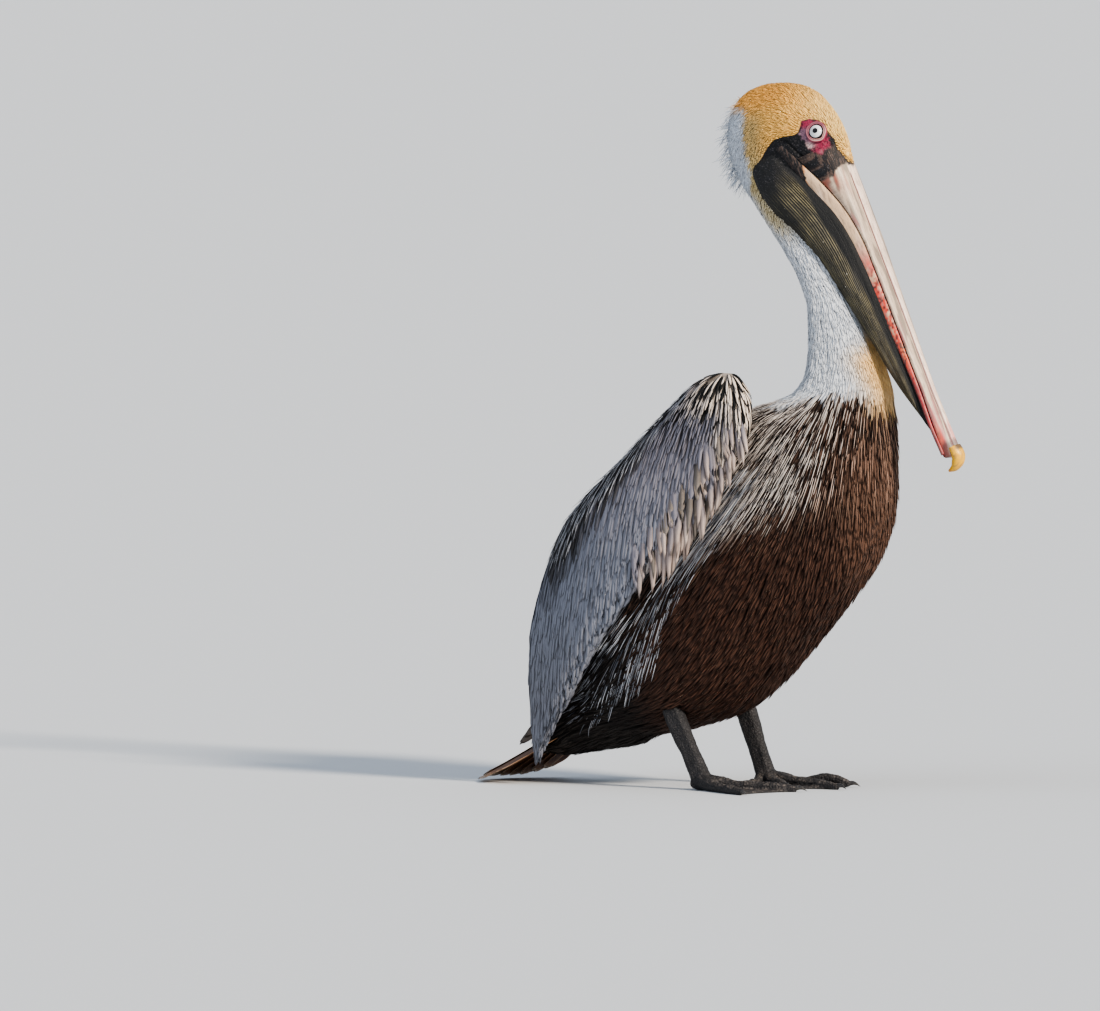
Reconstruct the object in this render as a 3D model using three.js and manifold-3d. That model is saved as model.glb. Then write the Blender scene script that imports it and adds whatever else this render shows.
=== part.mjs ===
// A brown pelican standing at rest, life size, bill laid down against its neck.
// Millimetres, +Z up. +X is the way the bird faces and +Y is its left side.
import * as THREE from "three";
import { mergeVertices } from "three/addons/utils/BufferGeometryUtils.js";
import Module from "manifold-3d";

const wasm = await Module();
wasm.setup();

// ---- driving dimensions ----
const PART_GAP = 0.3; // between pieces that meet
const CENTRE_X = -53.2; // middle of the bird's length, where the part's origin is
const CROWN_Z = 707;
const COLLAR_Z = 391; // where the white neck ends and the brown breast begins
const BILL_LENGTH = 327; // feathered forehead to the tip of the nail
const BILL_PITCH = 67.7; // below the horizon, degrees
const BILL_ROOT = { x: 88, z: 622.6 }; // forehead end of the bill's own axis
const EYE = { x: 63, y: 15.2, z: 656.5, radius: 9.5 };
const TAIL = { x: -178, z: 86, length: 152, pitch: 31, fan: 25, roof: 10, feathers: 13 };
const LEG_Y = 48; // each foot from the middle plane
const ANKLE_Z = 14;

const colours = {
  crown: 0xe0b060,
  neck: 0xe9e6e2,
  body: 0x3a2822,
  silver: 0x8b8a92,
  quill: 0x3c332f,
  claw: 0x23262b,
  foot: 0x3a3b40,
  horn: 0xcfc0b0,
  pouch: 0x2f2f27,
  nail: 0xd9b45a,
  eye: 0xe8eae8,
};

// ---- shared makers ----
const degrees = (a) => (a * Math.PI) / 180;
const clamp = (v, low, high) => Math.min(high, Math.max(low, v));
const mix = (a, b, t) => a + (b - a) * t;
const vec = (x, y, z) => new THREE.Vector3(x, y, z);

// A smooth value through evenly spaced keys, t from 0 to 1.
function through(keys, t) {
  const place = clamp(t, 0, 1) * (keys.length - 1);
  const i = Math.min(Math.floor(place), keys.length - 2);
  const f = place - i;
  const key = (k) => keys[clamp(k, 0, keys.length - 1)];
  const [a, b, c, d] = [key(i - 1), key(i), key(i + 1), key(i + 2)];
  const bend = 2 * a - 5 * b + 4 * c - d;
  const twist = 3 * (b - c) + d - a;
  return b + 0.5 * f * (c - a + f * (bend + f * twist));
}

// The same for a list of stations, one value at a time.
const at = (stations, name, t) => through(stations.map((s) => s[name]), t);

// A closed solid whose wall is placeAt(t, turn); turn goes round once and t from one end to the other.
function loft(placeAt, rings, sides) {
  const shape = new THREE.CylinderGeometry(1, 1, 1, sides, rings);
  const points = shape.attributes.position;
  const cell = (2 * Math.PI) / sides;
  for (let i = 0; i < points.count; i++) {
    const t = Math.round((0.5 - points.getY(i)) * rings) / rings;
    const reach = Math.hypot(points.getX(i), points.getZ(i));
    const step = Math.round(Math.atan2(points.getZ(i), points.getX(i)) / cell + sides) % sides;
    const p = placeAt(t, step * cell);
    if (reach < 0.5) p.lerp(placeAt(t, step * cell + Math.PI), 0.5);
    points.setXYZ(i, p.x, p.y, p.z);
  }
  return toSolid(shape);
}

function toSolid(geometry) {
  const bare = geometry.clone();
  bare.deleteAttribute("normal");
  bare.deleteAttribute("uv");
  const merged = mergeVertices(bare, 1e-4);
  const triVerts = new Uint32Array(merged.index.array);
  const vertProperties = merged.attributes.position.array;
  const made = new wasm.Manifold(new wasm.Mesh({ numProp: 3, vertProperties, triVerts }));
  if (made.volume() > 0) return made;
  for (let i = 0; i < triVerts.length; i += 3) {
    [triVerts[i + 1], triVerts[i + 2]] = [triVerts[i + 2], triVerts[i + 1]];
  }
  return new wasm.Manifold(new wasm.Mesh({ numProp: 3, vertProperties, triVerts }));
}

function toGeometry(solid) {
  const mesh = solid.getMesh();
  const corners = new Float32Array(mesh.numVert * 3);
  for (let i = 0; i < mesh.numVert; i++) {
    corners.set(mesh.vertProperties.subarray(i * mesh.numProp, i * mesh.numProp + 3), i * 3);
  }
  const geometry = new THREE.BufferGeometry();
  geometry.setAttribute("position", new THREE.BufferAttribute(corners, 3));
  geometry.setIndex(new THREE.BufferAttribute(mesh.triVerts, 1));
  return geometry;
}

const join = (solids) => solids.reduce((a, b) => a.add(b));
const cut = (solid, others) => others.reduce((a, b) => a.subtract(b), solid);

// The largest body of a solid, without slivers that a cut leaves.
function mainBody(solid) {
  return solid.decompose().reduce((a, b) => (b.volume() > a.volume() ? b : a));
}

// The two halves of a solid parted by a thin cut through a point in the middle plane, square to (nx, nz).
function part(solid, x, z, nx, nz) {
  const size = Math.hypot(nx, nz);
  const normal = [nx / size, 0, nz / size];
  const offset = normal[0] * x + normal[2] * z;
  const front = solid.trimByPlane(normal, offset + PART_GAP / 2);
  const back = solid.trimByPlane(normal.map((v) => -v), -offset + PART_GAP / 2);
  return [mainBody(front), mainBody(back)];
}

// A closed solid of level slices. Each slice runs from back to front and is 2 * wide across.
// egg is above 0 where a slice is widest towards the front, and below 0 towards the back.
function slices(stations, rings, sides, grow = 0) {
  return loft((t, turn) => {
    const back = at(stations, "back", t) - grow;
    const front = at(stations, "front", t) + grow;
    const wide = at(stations, "wide", t) + grow;
    const egg = at(stations, "egg", t);
    const full = Math.cos(turn) < 0 ? -(Math.abs(Math.cos(turn)) ** 0.85) : Math.cos(turn);
    const x = (back + front) / 2 + ((front - back) / 2) * full;
    const y = wide * Math.sin(turn) * (1 + egg * Math.cos(turn));
    return vec(x, y, at(stations, "z", t) + grow * (1 - 2 * t));
  }, rings, sides);
}

// A round limb through stations of x, y, z, with wide across and deep along its own height.
// Across is level, or along Y for a limb that stands up.
function limb(stations, rings, sides, grow = 0) {
  const centre = (t) => vec(at(stations, "x", t), at(stations, "y", t), at(stations, "z", t));
  const way = centre(1).sub(centre(0)).normalize();
  const across = Math.abs(way.z) > 0.7 ? vec(0, 1, 0) : vec(-way.y, way.x, 0).normalize();
  return loft((t, turn) => {
    const along = centre(Math.min(1, t + 0.01)).sub(centre(Math.max(0, t - 0.01))).normalize();
    const side = across.clone().addScaledVector(along, -along.dot(across)).normalize();
    const up = along.clone().cross(side);
    return centre(t)
      .addScaledVector(side, (at(stations, "wide", t) + grow) * Math.cos(turn))
      .addScaledVector(up, (at(stations, "deep", t) + grow) * Math.sin(turn));
  }, rings, sides);
}

// ---- head, neck and trunk, as level slices from the crown down ----
const headStations = [
  { z: CROWN_Z, back: 14, front: 20, wide: 2, egg: 0 },
  { z: 703, back: -13, front: 47, wide: 14, egg: 0 },
  { z: 692, back: -31, front: 63, wide: 21.5, egg: 0 },
  { z: 675, back: -43, front: 79, wide: 26, egg: -0.05 },
  { z: 655, back: -46, front: 90, wide: 27.5, egg: -0.08 },
  { z: 634, back: -44, front: 95, wide: 27.5, egg: -0.05 },
];
const neckStations = [
  { z: 616, back: -36, front: 72, wide: 27, egg: 0 },
  { z: 596, back: -23, front: 55, wide: 26, egg: 0 },
  { z: 566, back: -1, front: 63, wide: 25.5, egg: 0 },
  { z: 534, back: 22, front: 79, wide: 25.5, egg: 0 },
  { z: 500, back: 42, front: 97, wide: 27, egg: 0 },
  { z: 464, back: 47, front: 114, wide: 31, egg: 0 },
  { z: 430, back: 47, front: 127, wide: 37, egg: 0 },
  { z: 407, back: 42, front: 134, wide: 45, egg: 0 },
];
const trunkStations = [
  { z: COLLAR_Z, back: 22, front: 138, wide: 53, egg: -0.05 },
  { z: 380, back: -26, front: 141, wide: 63, egg: -0.1 },
  { z: 358, back: -74, front: 143, wide: 72, egg: -0.12 },
  { z: 322, back: -115, front: 144.5, wide: 80, egg: -0.14 },
  { z: 280, back: -146, front: 143, wide: 86, egg: -0.15 },
  { z: 236, back: -168, front: 129, wide: 88, egg: -0.14 },
  { z: 196, back: -184, front: 99, wide: 87, egg: -0.1 },
  { z: 156, back: -196, front: 64, wide: 82, egg: -0.05 },
  { z: 118, back: -205, front: 28, wide: 75, egg: 0 },
  { z: 88, back: -210, front: -3, wide: 64, egg: 0 },
  { z: 68, back: -212, front: -42, wide: 50, egg: 0 },
  { z: 54, back: -211, front: -98, wide: 35, egg: 0 },
  { z: 48, back: -200, front: -140, wide: 20, egg: 0 },
  { z: 45.5, back: -178, front: -170, wide: 3, egg: 0 },
];
const wholeBody = (grow = 0) =>
  slices([...headStations, ...neckStations, ...trunkStations], 34, 18, grow);

// Feathers over the root of the tail, above and below it.
const rumpStations = [
  { x: -112, y: 0, z: 92, wide: 28, deep: 24 },
  { x: -142, y: 0, z: 86, wide: 50, deep: 44 },
  { x: -174, y: 0, z: 76, wide: 50, deep: 42 },
  { x: -204, y: 0, z: 61, wide: 44, deep: 33 },
  { x: -230, y: 0, z: 45, wide: 34, deep: 20 },
  { x: -250, y: 0, z: 34, wide: 12, deep: 5 },
];
const rump = (grow = 0) => limb(rumpStations, 8, 14, grow);

// Loose plumes down the back of the head.
const crestStations = [
  { x: -28, y: 0, z: 688, wide: 2, deep: 3 },
  { x: -41, y: 0, z: 672, wide: 4, deep: 8 },
  { x: -46, y: 0, z: 651, wide: 4.5, deep: 8 },
  { x: -42, y: 0, z: 628, wide: 4, deep: 6 },
  { x: -29, y: 0, z: 605, wide: 2, deep: 3 },
];
const crest = () => limb(crestStations, 8, 8);

// ---- bill and pouch, laid out along the bill's own axis ----
// s runs from the forehead to the tip, y is across and n is up out of the bill's back.
const billAxis = vec(Math.cos(degrees(BILL_PITCH)), 0, -Math.sin(degrees(BILL_PITCH)));
const billUp = vec(-billAxis.z, 0, billAxis.x);
const onBill = (s, y, n) =>
  vec(BILL_ROOT.x, y, BILL_ROOT.z).addScaledVector(billAxis, s).addScaledVector(billUp, n);

// Keys are evenly spaced from BILL_START to the root of the nail.
const BILL_START = -60;
const billShape = {
  wide: [27, 26.5, 24.5, 22.5, 20.5, 18.5, 17, 15.8, 14.6, 13.8, 13.2, 10],
  gape: [-49, -36, -19.5, -6.5, -0.5, 0, 0, 0, 0, 0, -1, -2.5],
  jaw: [-60, -50, -36, -29.5, -22, -16, -12.5, -11, -8.8, -7.5, -7.4, -5],
};
const BILL_END = BILL_LENGTH - 19; // root of the nail
const billShare = (s) => (s - BILL_START) / (BILL_END - BILL_START);
const billWide = (s) => through(billShape.wide, billShare(s));
const gapeLine = (s) => through(billShape.gape, billShare(s));
const jawLine = (s) => through(billShape.jaw, billShare(s));

// A loft along the bill, its section given by profile(s, turn) as {y, n}.
function billLoft(from, to, profile, rings, sides) {
  return loft((t, turn) => {
    const s = mix(from, to, t);
    const { y, n } = profile(s, turn);
    return onBill(s, y, n);
  }, rings, sides);
}

const RIDGE = 7; // height of the bill's back over its cutting edge
function upperBill(grow = 0) {
  return billLoft(-26 - grow, BILL_END + grow, (s, turn) => {
    const side = Math.cos(turn);
    const up = Math.sin(turn);
    const tip = clamp((s - 240) / 60, 0, 1);
    const root = clamp(1 - s / 50, 0, 1);
    const keel = (RIDGE + 3 * tip) * (1 - 0.55 * Math.abs(side) ** 0.7);
    const low = gapeLine(s) - 1;
    const n = up > 0 ? low + 1 + 5 * root + (keel - low - 1 - 5 * root) * up ** 0.6 : mix(low, low - 1, -up);
    return { y: (billWide(s) - 0.6 + grow) * side, n: n + grow * up };
  }, 12, 14);
}

// The hooked nail that closes the bill's tip.
const nailStations = [
  { s: BILL_END - 6, n: 6, wide: 8.5, deep: 6.5 },
  { s: BILL_END + 2, n: 6.5, wide: 8, deep: 6.8 },
  { s: BILL_END + 8, n: 3.5, wide: 6.5, deep: 6.2 },
  { s: BILL_END + 12, n: -2, wide: 4.2, deep: 4 },
  { s: BILL_END + 13, n: -9, wide: 1.2, deep: 1.2 },
];
function nail() {
  const keys = nailStations.map((k) => {
    const p = onBill(k.s, 0, k.n);
    return { x: p.x, y: 0, z: p.z, wide: k.wide, deep: k.deep };
  });
  return limb(keys, 8, 10);
}

// One bar of the lower jaw; side is -1 right, 1 left.
const BAR = 5.5; // its thickness
function jawBar(side, grow = 0) {
  return billLoft(-42 - grow, BILL_END - 3 + grow, (s, turn) => {
    const thick = BAR / 2 + grow;
    const middle = side * (billWide(s) - BAR / 2 + 0.4);
    const top = gapeLine(s) - 2.4;
    const deep = Math.max(2, (top - jawLine(s)) / 2) + grow;
    const y = middle + thick * Math.sign(Math.cos(turn)) * Math.abs(Math.cos(turn)) ** 0.6;
    const n = (top + jawLine(s)) / 2 + deep * Math.sign(Math.sin(turn)) * Math.abs(Math.sin(turn)) ** 0.7;
    return { y, n };
  }, 12, 8);
}
function lowerJaw(grow = 0) {
  const chin = billLoft(BILL_END - 22, BILL_END - 1, (s, turn) => ({
    y: (billWide(s) - 1 + grow) * Math.cos(turn),
    n: -4.6 + (2 + grow) * Math.sin(turn),
  }), 4, 12);
  return join([jawBar(-1, grow), jawBar(1, grow), chin]);
}

// The bare throat pouch, slung under the jaw and folded against the neck.
const pouchShape = {
  low: [-84, -95, -91, -75, -59, -50, -43, -36, -30, -21, -10, -5],
  wide: [26, 29.5, 30, 29, 27, 24.5, 21.5, 18.5, 15.5, 13, 11, 6],
};
function pouch() {
  return billLoft(-58, BILL_END - 12, (s, turn) => {
    const share = billShare(s);
    const low = through(pouchShape.low, share);
    const high = gapeLine(s) - 3.6;
    const wide = through(pouchShape.wide, share);
    const side = Math.cos(turn);
    const up = Math.sin(turn);
    const fullness = up > 0 ? 1 - 0.14 * up : 1;
    return {
      y: wide * fullness * Math.sign(side) * Math.abs(side) ** 0.55,
      n: (high + low) / 2 + ((high - low) / 2) * Math.sign(up) * Math.abs(up) ** 0.8,
    };
  }, 11, 10);
}

// ---- wings, each hung from the wrist beside the neck ----
const wingStations = [
  { rx: -6, ry: 87, rz: 423, fx: 12, fy: 92, fz: 422, thick: 4 },
  { rx: -33, ry: 85, rz: 413, fx: 30, fy: 98, fz: 396, thick: 18 },
  { rx: -77, ry: 77, rz: 378, fx: 27, fy: 102, fz: 348, thick: 22 },
  { rx: -136, ry: 66, rz: 327, fx: -15, fy: 101, fz: 300, thick: 22 },
  { rx: -196, ry: 55, rz: 274, fx: -59, fy: 99, fz: 248, thick: 20 },
  { rx: -230, ry: 47, rz: 212, fx: -105, fy: 93, fz: 196, thick: 17 },
  { rx: -248, ry: 42, rz: 150, fx: -147, fy: 84, fz: 146, thick: 13 },
  { rx: -250, ry: 40, rz: 92, fx: -184, fy: 71, fz: 96, thick: 9 },
  { rx: -246, ry: 41, rz: 46, fx: -216, fy: 58, fz: 52, thick: 5 },
  { rx: -239, ry: 44, rz: 22, fx: -233, fy: 49, fz: 22, thick: 1.2 },
];
// The left wrist is carried further forward and lower than the right one, and its tip higher.
const wingShift = { right: { x: 0, z: 0, tip: 0 }, left: { x: 16, z: -26, tip: 14 } };
const sideSign = { right: -1, left: 1 };
function wing(side, grow = 0) {
  const shift = wingShift[side];
  return loft((t, turn) => {
    const rear = vec(at(wingStations, "rx", t), at(wingStations, "ry", t), at(wingStations, "rz", t));
    const fore = vec(at(wingStations, "fx", t), at(wingStations, "fy", t), at(wingStations, "fz", t));
    const across = fore.clone().sub(rear);
    const half = across.length() / 2 + grow;
    across.normalize();
    const out = vec(0, 1, 0).addScaledVector(across, -across.y).normalize();
    const thick = at(wingStations, "thick", t) + grow;
    const p = fore.add(rear).multiplyScalar(0.5)
      .addScaledVector(across, half * Math.sign(Math.cos(turn)) * Math.abs(Math.cos(turn)) ** 0.8)
      .addScaledVector(out, thick * Math.sin(turn));
    const ease = (1 - t) ** 2;
    p.x += shift.x * ease;
    p.z += shift.z * ease + shift.tip * t ** 4;
    p.y *= sideSign[side];
    return p;
  }, 18, 12);
}

// The long outer quills that show past the wing's end, over the tail.
const quillStations = [
  { x: -156, y: 46, z: 142, wide: 5, deep: 22 },
  { x: -202, y: 41, z: 112, wide: 5, deep: 20 },
  { x: -240, y: 35, z: 80, wide: 4, deep: 14 },
  { x: -268, y: 31, z: 55, wide: 2.6, deep: 7 },
  { x: -279, y: 29, z: 45, wide: 1, deep: 1.5 },
];
function quills(side, grow = 0) {
  return limb(quillStations.map((k) => ({ ...k, y: k.y * sideSign[side] })), 8, 8, grow);
}

// ---- tail: a fan of stiff feathers, roofed over its middle ----
const FEATHER_THICK = 1.8;
const FEATHER_STEP = 0.9; // each one lies this much under the one nearer the middle
const TAIL_ROOT = 18; // from the point they fan from to their roots
function tailFeather(index) {
  const spread = (2 * index) / (TAIL.feathers - 1) - 1; // -1 right to 1 left
  const length = TAIL.length - 24 * spread * spread;
  const wide = 14.5;
  const vane = new THREE.Shape();
  vane.moveTo(0, -4);
  vane.lineTo(0, 4);
  vane.quadraticCurveTo(length * 0.55, wide * 0.5, length * 0.84, wide * 0.9);
  vane.quadraticCurveTo(length * 0.98, wide * 0.9, length, 0);
  vane.quadraticCurveTo(length * 0.98, -wide * 0.9, length * 0.84, -wide * 0.9);
  vane.quadraticCurveTo(length * 0.55, -wide * 0.5, 0, -4);
  const blade = new THREE.ExtrudeGeometry(vane, {
    depth: FEATHER_THICK, bevelEnabled: false, curveSegments: 2,
  });
  blade.translate(TAIL_ROOT, 0, -FEATHER_STEP * Math.abs(index - (TAIL.feathers - 1) / 2));
  blade.rotateZ(degrees(TAIL.fan) * spread);
  blade.rotateX(degrees(TAIL.roof) * -Math.sign(spread));
  blade.rotateY(degrees(TAIL.pitch));
  blade.rotateZ(Math.PI);
  blade.translate(TAIL.x, 0, TAIL.z);
  return toSolid(blade);
}
function tail() {
  const fan = join(Array.from({ length: TAIL.feathers }, (_, i) => tailFeather(i)));
  return fan.trimByPlane([0, 0, 1], 0);
}

// ---- legs and webbed feet ----
// Shin top, hock and ankle are [x, z]. Each toe points so many degrees to the left of +X, and
// knuckle is how far the outer toe's joint is raised.
const legs = {
  right: {
    y: -LEG_Y, shin: [-86, 108], hock: [-81, 74], ankle: [-51, ANKLE_Z],
    toes: { hind: 80, inner: 36, middle: 10, outer: -36 }, knuckle: 0,
  },
  left: {
    y: LEG_Y, shin: [-54, 108], hock: [-48, 72], ankle: [-28, ANKLE_Z],
    toes: { hind: -88, inner: -44, middle: -16, outer: 8 }, knuckle: 6,
  },
};
function shin(leg, grow = 0) {
  const { y } = leg;
  const [tx, tz] = leg.shin;
  const [hx, hz] = leg.hock;
  return limb([
    { x: tx, y: y * 0.9, z: tz, wide: 18, deep: 22 },
    { x: mix(tx, hx, 0.6), y, z: mix(tz, hz, 0.55), wide: 15, deep: 18 },
    { x: hx, y, z: hz + 3, wide: 12, deep: 13.5 },
  ], 4, 10, grow);
}
function tarsus(leg, grow = 0) {
  const { y } = leg;
  const [hx, hz] = leg.hock;
  const [ax, az] = leg.ankle;
  return limb([
    { x: hx - 3, y, z: hz + 8, wide: 9, deep: 10.5 },
    { x: mix(hx, ax, 0.2), y, z: mix(hz, az, 0.2), wide: 8.6, deep: 11.2 },
    { x: mix(hx, ax, 0.55), y, z: mix(hz, az, 0.55), wide: 7.4, deep: 9.6 },
    { x: mix(hx, ax, 0.85), y, z: mix(hz, az, 0.85), wide: 8.2, deep: 10.4 },
    { x: ax + 2, y, z: az - 4, wide: 9.5, deep: 11 },
  ], 6, 10, grow);
}

// Toes fan from the ankle, all four joined by web.
const toes = [
  { name: "hind", length: 40, fat: 4 },
  { name: "inner", length: 66, fat: 5 },
  { name: "middle", length: 100, fat: 5.4 },
  { name: "outer", length: 90, fat: 5 },
];
const WEB_THICK = 2.2;
const WEB_BAY = 0.16; // how far the web's edge draws back between two toes
const CLAW_LENGTH = 11;
// The point at height z on a toe's line, so far out from the ankle.
function onToe(leg, toe, reach, z) {
  const way = degrees(leg.toes[toe.name]);
  return vec(leg.ankle[0] + reach * Math.cos(way), leg.y + reach * Math.sin(way), z);
}
// A limb along a toe. Each key is how far out, how high and how thick.
function toeLimb(leg, toe, keys, rings, sides) {
  const stations = keys.map(([reach, z, fat]) => {
    const p = onToe(leg, toe, reach, z);
    return { x: p.x, y: p.y, z: p.z, wide: fat, deep: fat };
  });
  return limb(stations, rings, sides).trimByPlane([0, 0, 1], 0);
}
function toeSolid(leg, toe) {
  const lift = toe.name === "outer" ? leg.knuckle : 0;
  const { length, fat } = toe;
  return toeLimb(leg, toe, [
    [0, 11, 9],
    [0.25 * length, 6.4, 6.8],
    [0.5 * length, 4.4, fat],
    [0.76 * length, 4.2 + lift, fat * 1.1],
    [length, 3, fat * 0.62],
  ], 6, 7);
}
function web(leg) {
  const tips = toes.map((toe) => onToe(leg, toe, toe.length * 0.96, 0));
  const outline = new THREE.Shape();
  outline.moveTo(leg.ankle[0], leg.y);
  outline.lineTo(tips[0].x, tips[0].y);
  tips.slice(1).forEach((tip, i) => {
    const bay = tips[i].clone().add(tip).multiplyScalar(0.5);
    bay.lerp(vec(leg.ankle[0], leg.y, 0), WEB_BAY);
    outline.quadraticCurveTo(bay.x, bay.y, tip.x, tip.y);
  });
  outline.closePath();
  return toSolid(new THREE.ExtrudeGeometry(outline, {
    depth: WEB_THICK, bevelEnabled: false, curveSegments: 5,
  }));
}
function foot(leg) {
  const { y } = leg;
  const [x] = leg.ankle;
  const heel = limb([
    { x: x - 9, y, z: 5, wide: 6, deep: 4 },
    { x: x - 2, y, z: 8, wide: 10, deep: 9 },
    { x: x + 10, y, z: 7, wide: 10, deep: 8 },
    { x: x + 20, y, z: 5, wide: 7, deep: 5 },
  ], 4, 8).trimByPlane([0, 0, 1], 0);
  return join([heel, web(leg), ...toes.map((toe) => toeSolid(leg, toe))]);
}
function claw(leg, toe) {
  const root = toe.length + 5 * PART_GAP;
  return toeLimb(leg, toe, [
    [root, 3.4, 2.2],
    [root + CLAW_LENGTH * 0.5, 3.9, 1.9],
    [root + CLAW_LENGTH * 0.85, 2.2, 1.1],
    [root + CLAW_LENGTH, 0.9, 0.45],
  ], 4, 6);
}

// ---- assembly: what is named first keeps its shape, and what comes later is cut to clear it ----
function eyeball(side, grow = 0) {
  const ball = new THREE.SphereGeometry(EYE.radius + grow, 10, 7);
  ball.translate(EYE.x, sideSign[side] * EYE.y, EYE.z);
  return toSolid(ball);
}

const bird = new THREE.Group();
function place(name, solid, colour, roughness = 0.8) {
  const material = new THREE.MeshStandardMaterial({ color: colour, roughness, metalness: 0 });
  const mesh = new THREE.Mesh(toGeometry(mainBody(solid)), material);
  mesh.name = name;
  bird.add(mesh);
}

const sides = Object.keys(sideSign);
const bothSides = (make) => sides.map((side) => make(side, PART_GAP));
const jawClear = lowerJaw(PART_GAP);
const upperClear = upperBill(PART_GAP);
const bodyClear = wholeBody(PART_GAP);
const trunkClear = [bodyClear, rump(PART_GAP)];
const wingsClear = bothSides(wing);
const legsClear = Object.values(legs).flatMap((leg) => [shin(leg, PART_GAP), tarsus(leg, PART_GAP)]);

const body = cut(wholeBody(), [jawClear, upperClear, ...bothSides(eyeball)]);
const [head, belowHead] = part(body, 10, 600, 0.5, 1);
const [upperNeck, belowNeck] = part(belowHead, 70, 497, -0.25, 1);
const [lowerNeck, trunk] = part(belowNeck, 80, 388, -0.06, 1);

place("head", head, colours.crown);
place("crest", cut(crest(), [bodyClear]), colours.neck);
place("neck_upper", upperNeck, colours.neck);
place("neck_lower", lowerNeck, colours.neck);
place("trunk", cut(trunk.add(rump()), legsClear), colours.body);
place("bill_upper", cut(upperBill(), [jawClear]), colours.horn, 0.5);
place("bill_nail", cut(nail(), [jawClear, upperClear]), colours.nail, 0.4);
place("bill_lower", lowerJaw(), colours.horn, 0.5);
place("pouch", cut(pouch(), [jawClear, upperClear, bodyClear]), colours.pouch, 0.6);

for (const side of sides) {
  place("eye_" + side, eyeball(side), colours.eye, 0.1);
  place("wing_" + side, cut(wing(side), trunkClear), colours.silver);
  place("quills_" + side, cut(quills(side), [...trunkClear, ...wingsClear]), colours.quill);
}
place("tail", cut(tail(), [...trunkClear, ...wingsClear, ...bothSides(quills)]), colours.quill);

for (const [name, leg] of Object.entries(legs)) {
  const tarsusClear = tarsus(leg, PART_GAP);
  place("shin_" + name, cut(shin(leg), [tarsusClear]), colours.body);
  place("tarsus_" + name, tarsus(leg), colours.foot, 0.7);
  place("foot_" + name, cut(foot(leg), [tarsusClear]), colours.foot, 0.7);
  for (const toe of toes) {
    place("claw_" + name + "_" + toe.name, claw(leg, toe), colours.claw, 0.4);
  }
}

bird.position.set(-CENTRE_X, 0, 0);

export default bird;
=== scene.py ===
import math

import bmesh
import bpy
import numpy as np
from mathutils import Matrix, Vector
from mathutils.bvhtree import BVHTree


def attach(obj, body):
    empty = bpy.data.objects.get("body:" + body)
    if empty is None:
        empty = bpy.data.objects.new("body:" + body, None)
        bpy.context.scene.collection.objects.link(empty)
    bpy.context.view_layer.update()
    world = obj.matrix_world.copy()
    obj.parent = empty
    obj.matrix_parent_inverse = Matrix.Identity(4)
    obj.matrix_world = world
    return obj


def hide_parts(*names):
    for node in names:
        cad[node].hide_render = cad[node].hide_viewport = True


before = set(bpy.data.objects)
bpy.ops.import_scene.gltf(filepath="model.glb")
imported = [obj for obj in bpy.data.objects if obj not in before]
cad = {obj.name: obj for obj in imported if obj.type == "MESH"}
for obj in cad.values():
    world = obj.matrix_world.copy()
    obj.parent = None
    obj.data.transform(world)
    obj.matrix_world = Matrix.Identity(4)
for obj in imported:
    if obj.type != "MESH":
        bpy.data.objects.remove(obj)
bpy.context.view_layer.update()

# A brown pelican standing at rest. Tables are in millimetres, meshes in metres.
mm = 0.001
sides = ((-1, "Right"), (1, "Left"))


# small helpers
def deselect():
    for obj in bpy.context.selected_objects:
        obj.select_set(False)


def pick(*objects):
    deselect()
    for obj in objects:
        obj.select_set(True)
    bpy.context.view_layer.objects.active = objects[0]


def joined(name, pieces):
    pick(*pieces)
    bpy.ops.object.join()
    pieces[0].name = name
    return pieces[0]


def rise(low, high, x):
    t = np.clip((np.asarray(x, float) - low) / (high - low), 0, 1)
    return t * t * (3 - 2 * t)


def bell(x, width, power=2):
    return np.exp(-(x / width) ** power)


def bent(x, power):
    return np.sign(x) * np.abs(x) ** power


def unit(v):
    return v / np.maximum(np.linalg.norm(v, axis=-1, keepdims=True), 1e-9)


def circle(count):
    return np.linspace(0, 2 * np.pi, count, endpoint=False)


def heading(turn):
    # the level direction so many degrees round from +X
    return np.array([math.cos(math.radians(turn)), math.sin(math.radians(turn)), 0])


def fromSide(points):
    return points[:, [0, 2]]


def smoothKeys(keys, t):
    # a smooth value through evenly spaced keys, t from 0 to 1
    keys = np.asarray(keys, float)
    place = np.clip(t, 0, 1) * (len(keys) - 1)
    i = np.minimum(np.floor(place).astype(int), len(keys) - 2)
    f = place - i
    a, b, c, d = (keys[np.clip(i + k, 0, len(keys) - 1)] for k in (-1, 0, 1, 2))
    return b + 0.5 * f * (c - a + f * (2 * a - 5 * b + 4 * c - d + f * (3 * (b - c) + d - a)))


def paint(colour):
    # six hex digits as linear values; any other colour as it is
    if not isinstance(colour, str):
        return np.asarray(colour, float)
    values = [int(colour[i:i + 2], 16) / 255 for i in (0, 2, 4)]
    return np.array([v / 12.92 if v <= 0.04045 else ((v + 0.055) / 1.055) ** 2.4 for v in values])


def blend(a, b, t):
    t = np.asarray(t, float)[..., None]
    return paint(a) * (1 - t) + paint(b) * t


def painted(tones, tone, *coats):
    # coats of paint one over the other, each a tone or its name, and its share at each place
    for colour, share in coats:
        tone, colour = (tones.get(c, c) if isinstance(c, str) else c for c in (tone, colour))
        tone = blend(tone, colour, share)
    return tone


def cellValue(i, j, k, seed):
    n = (i * 73856093) ^ (j * 19349663) ^ (k * 83492791) ^ (seed * 265443576)
    n = ((n ^ (n >> 13)) * 1274126177) & 0xFFFFFFFF
    return ((n ^ (n >> 16)) & 0xFFFF) / 65535


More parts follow.
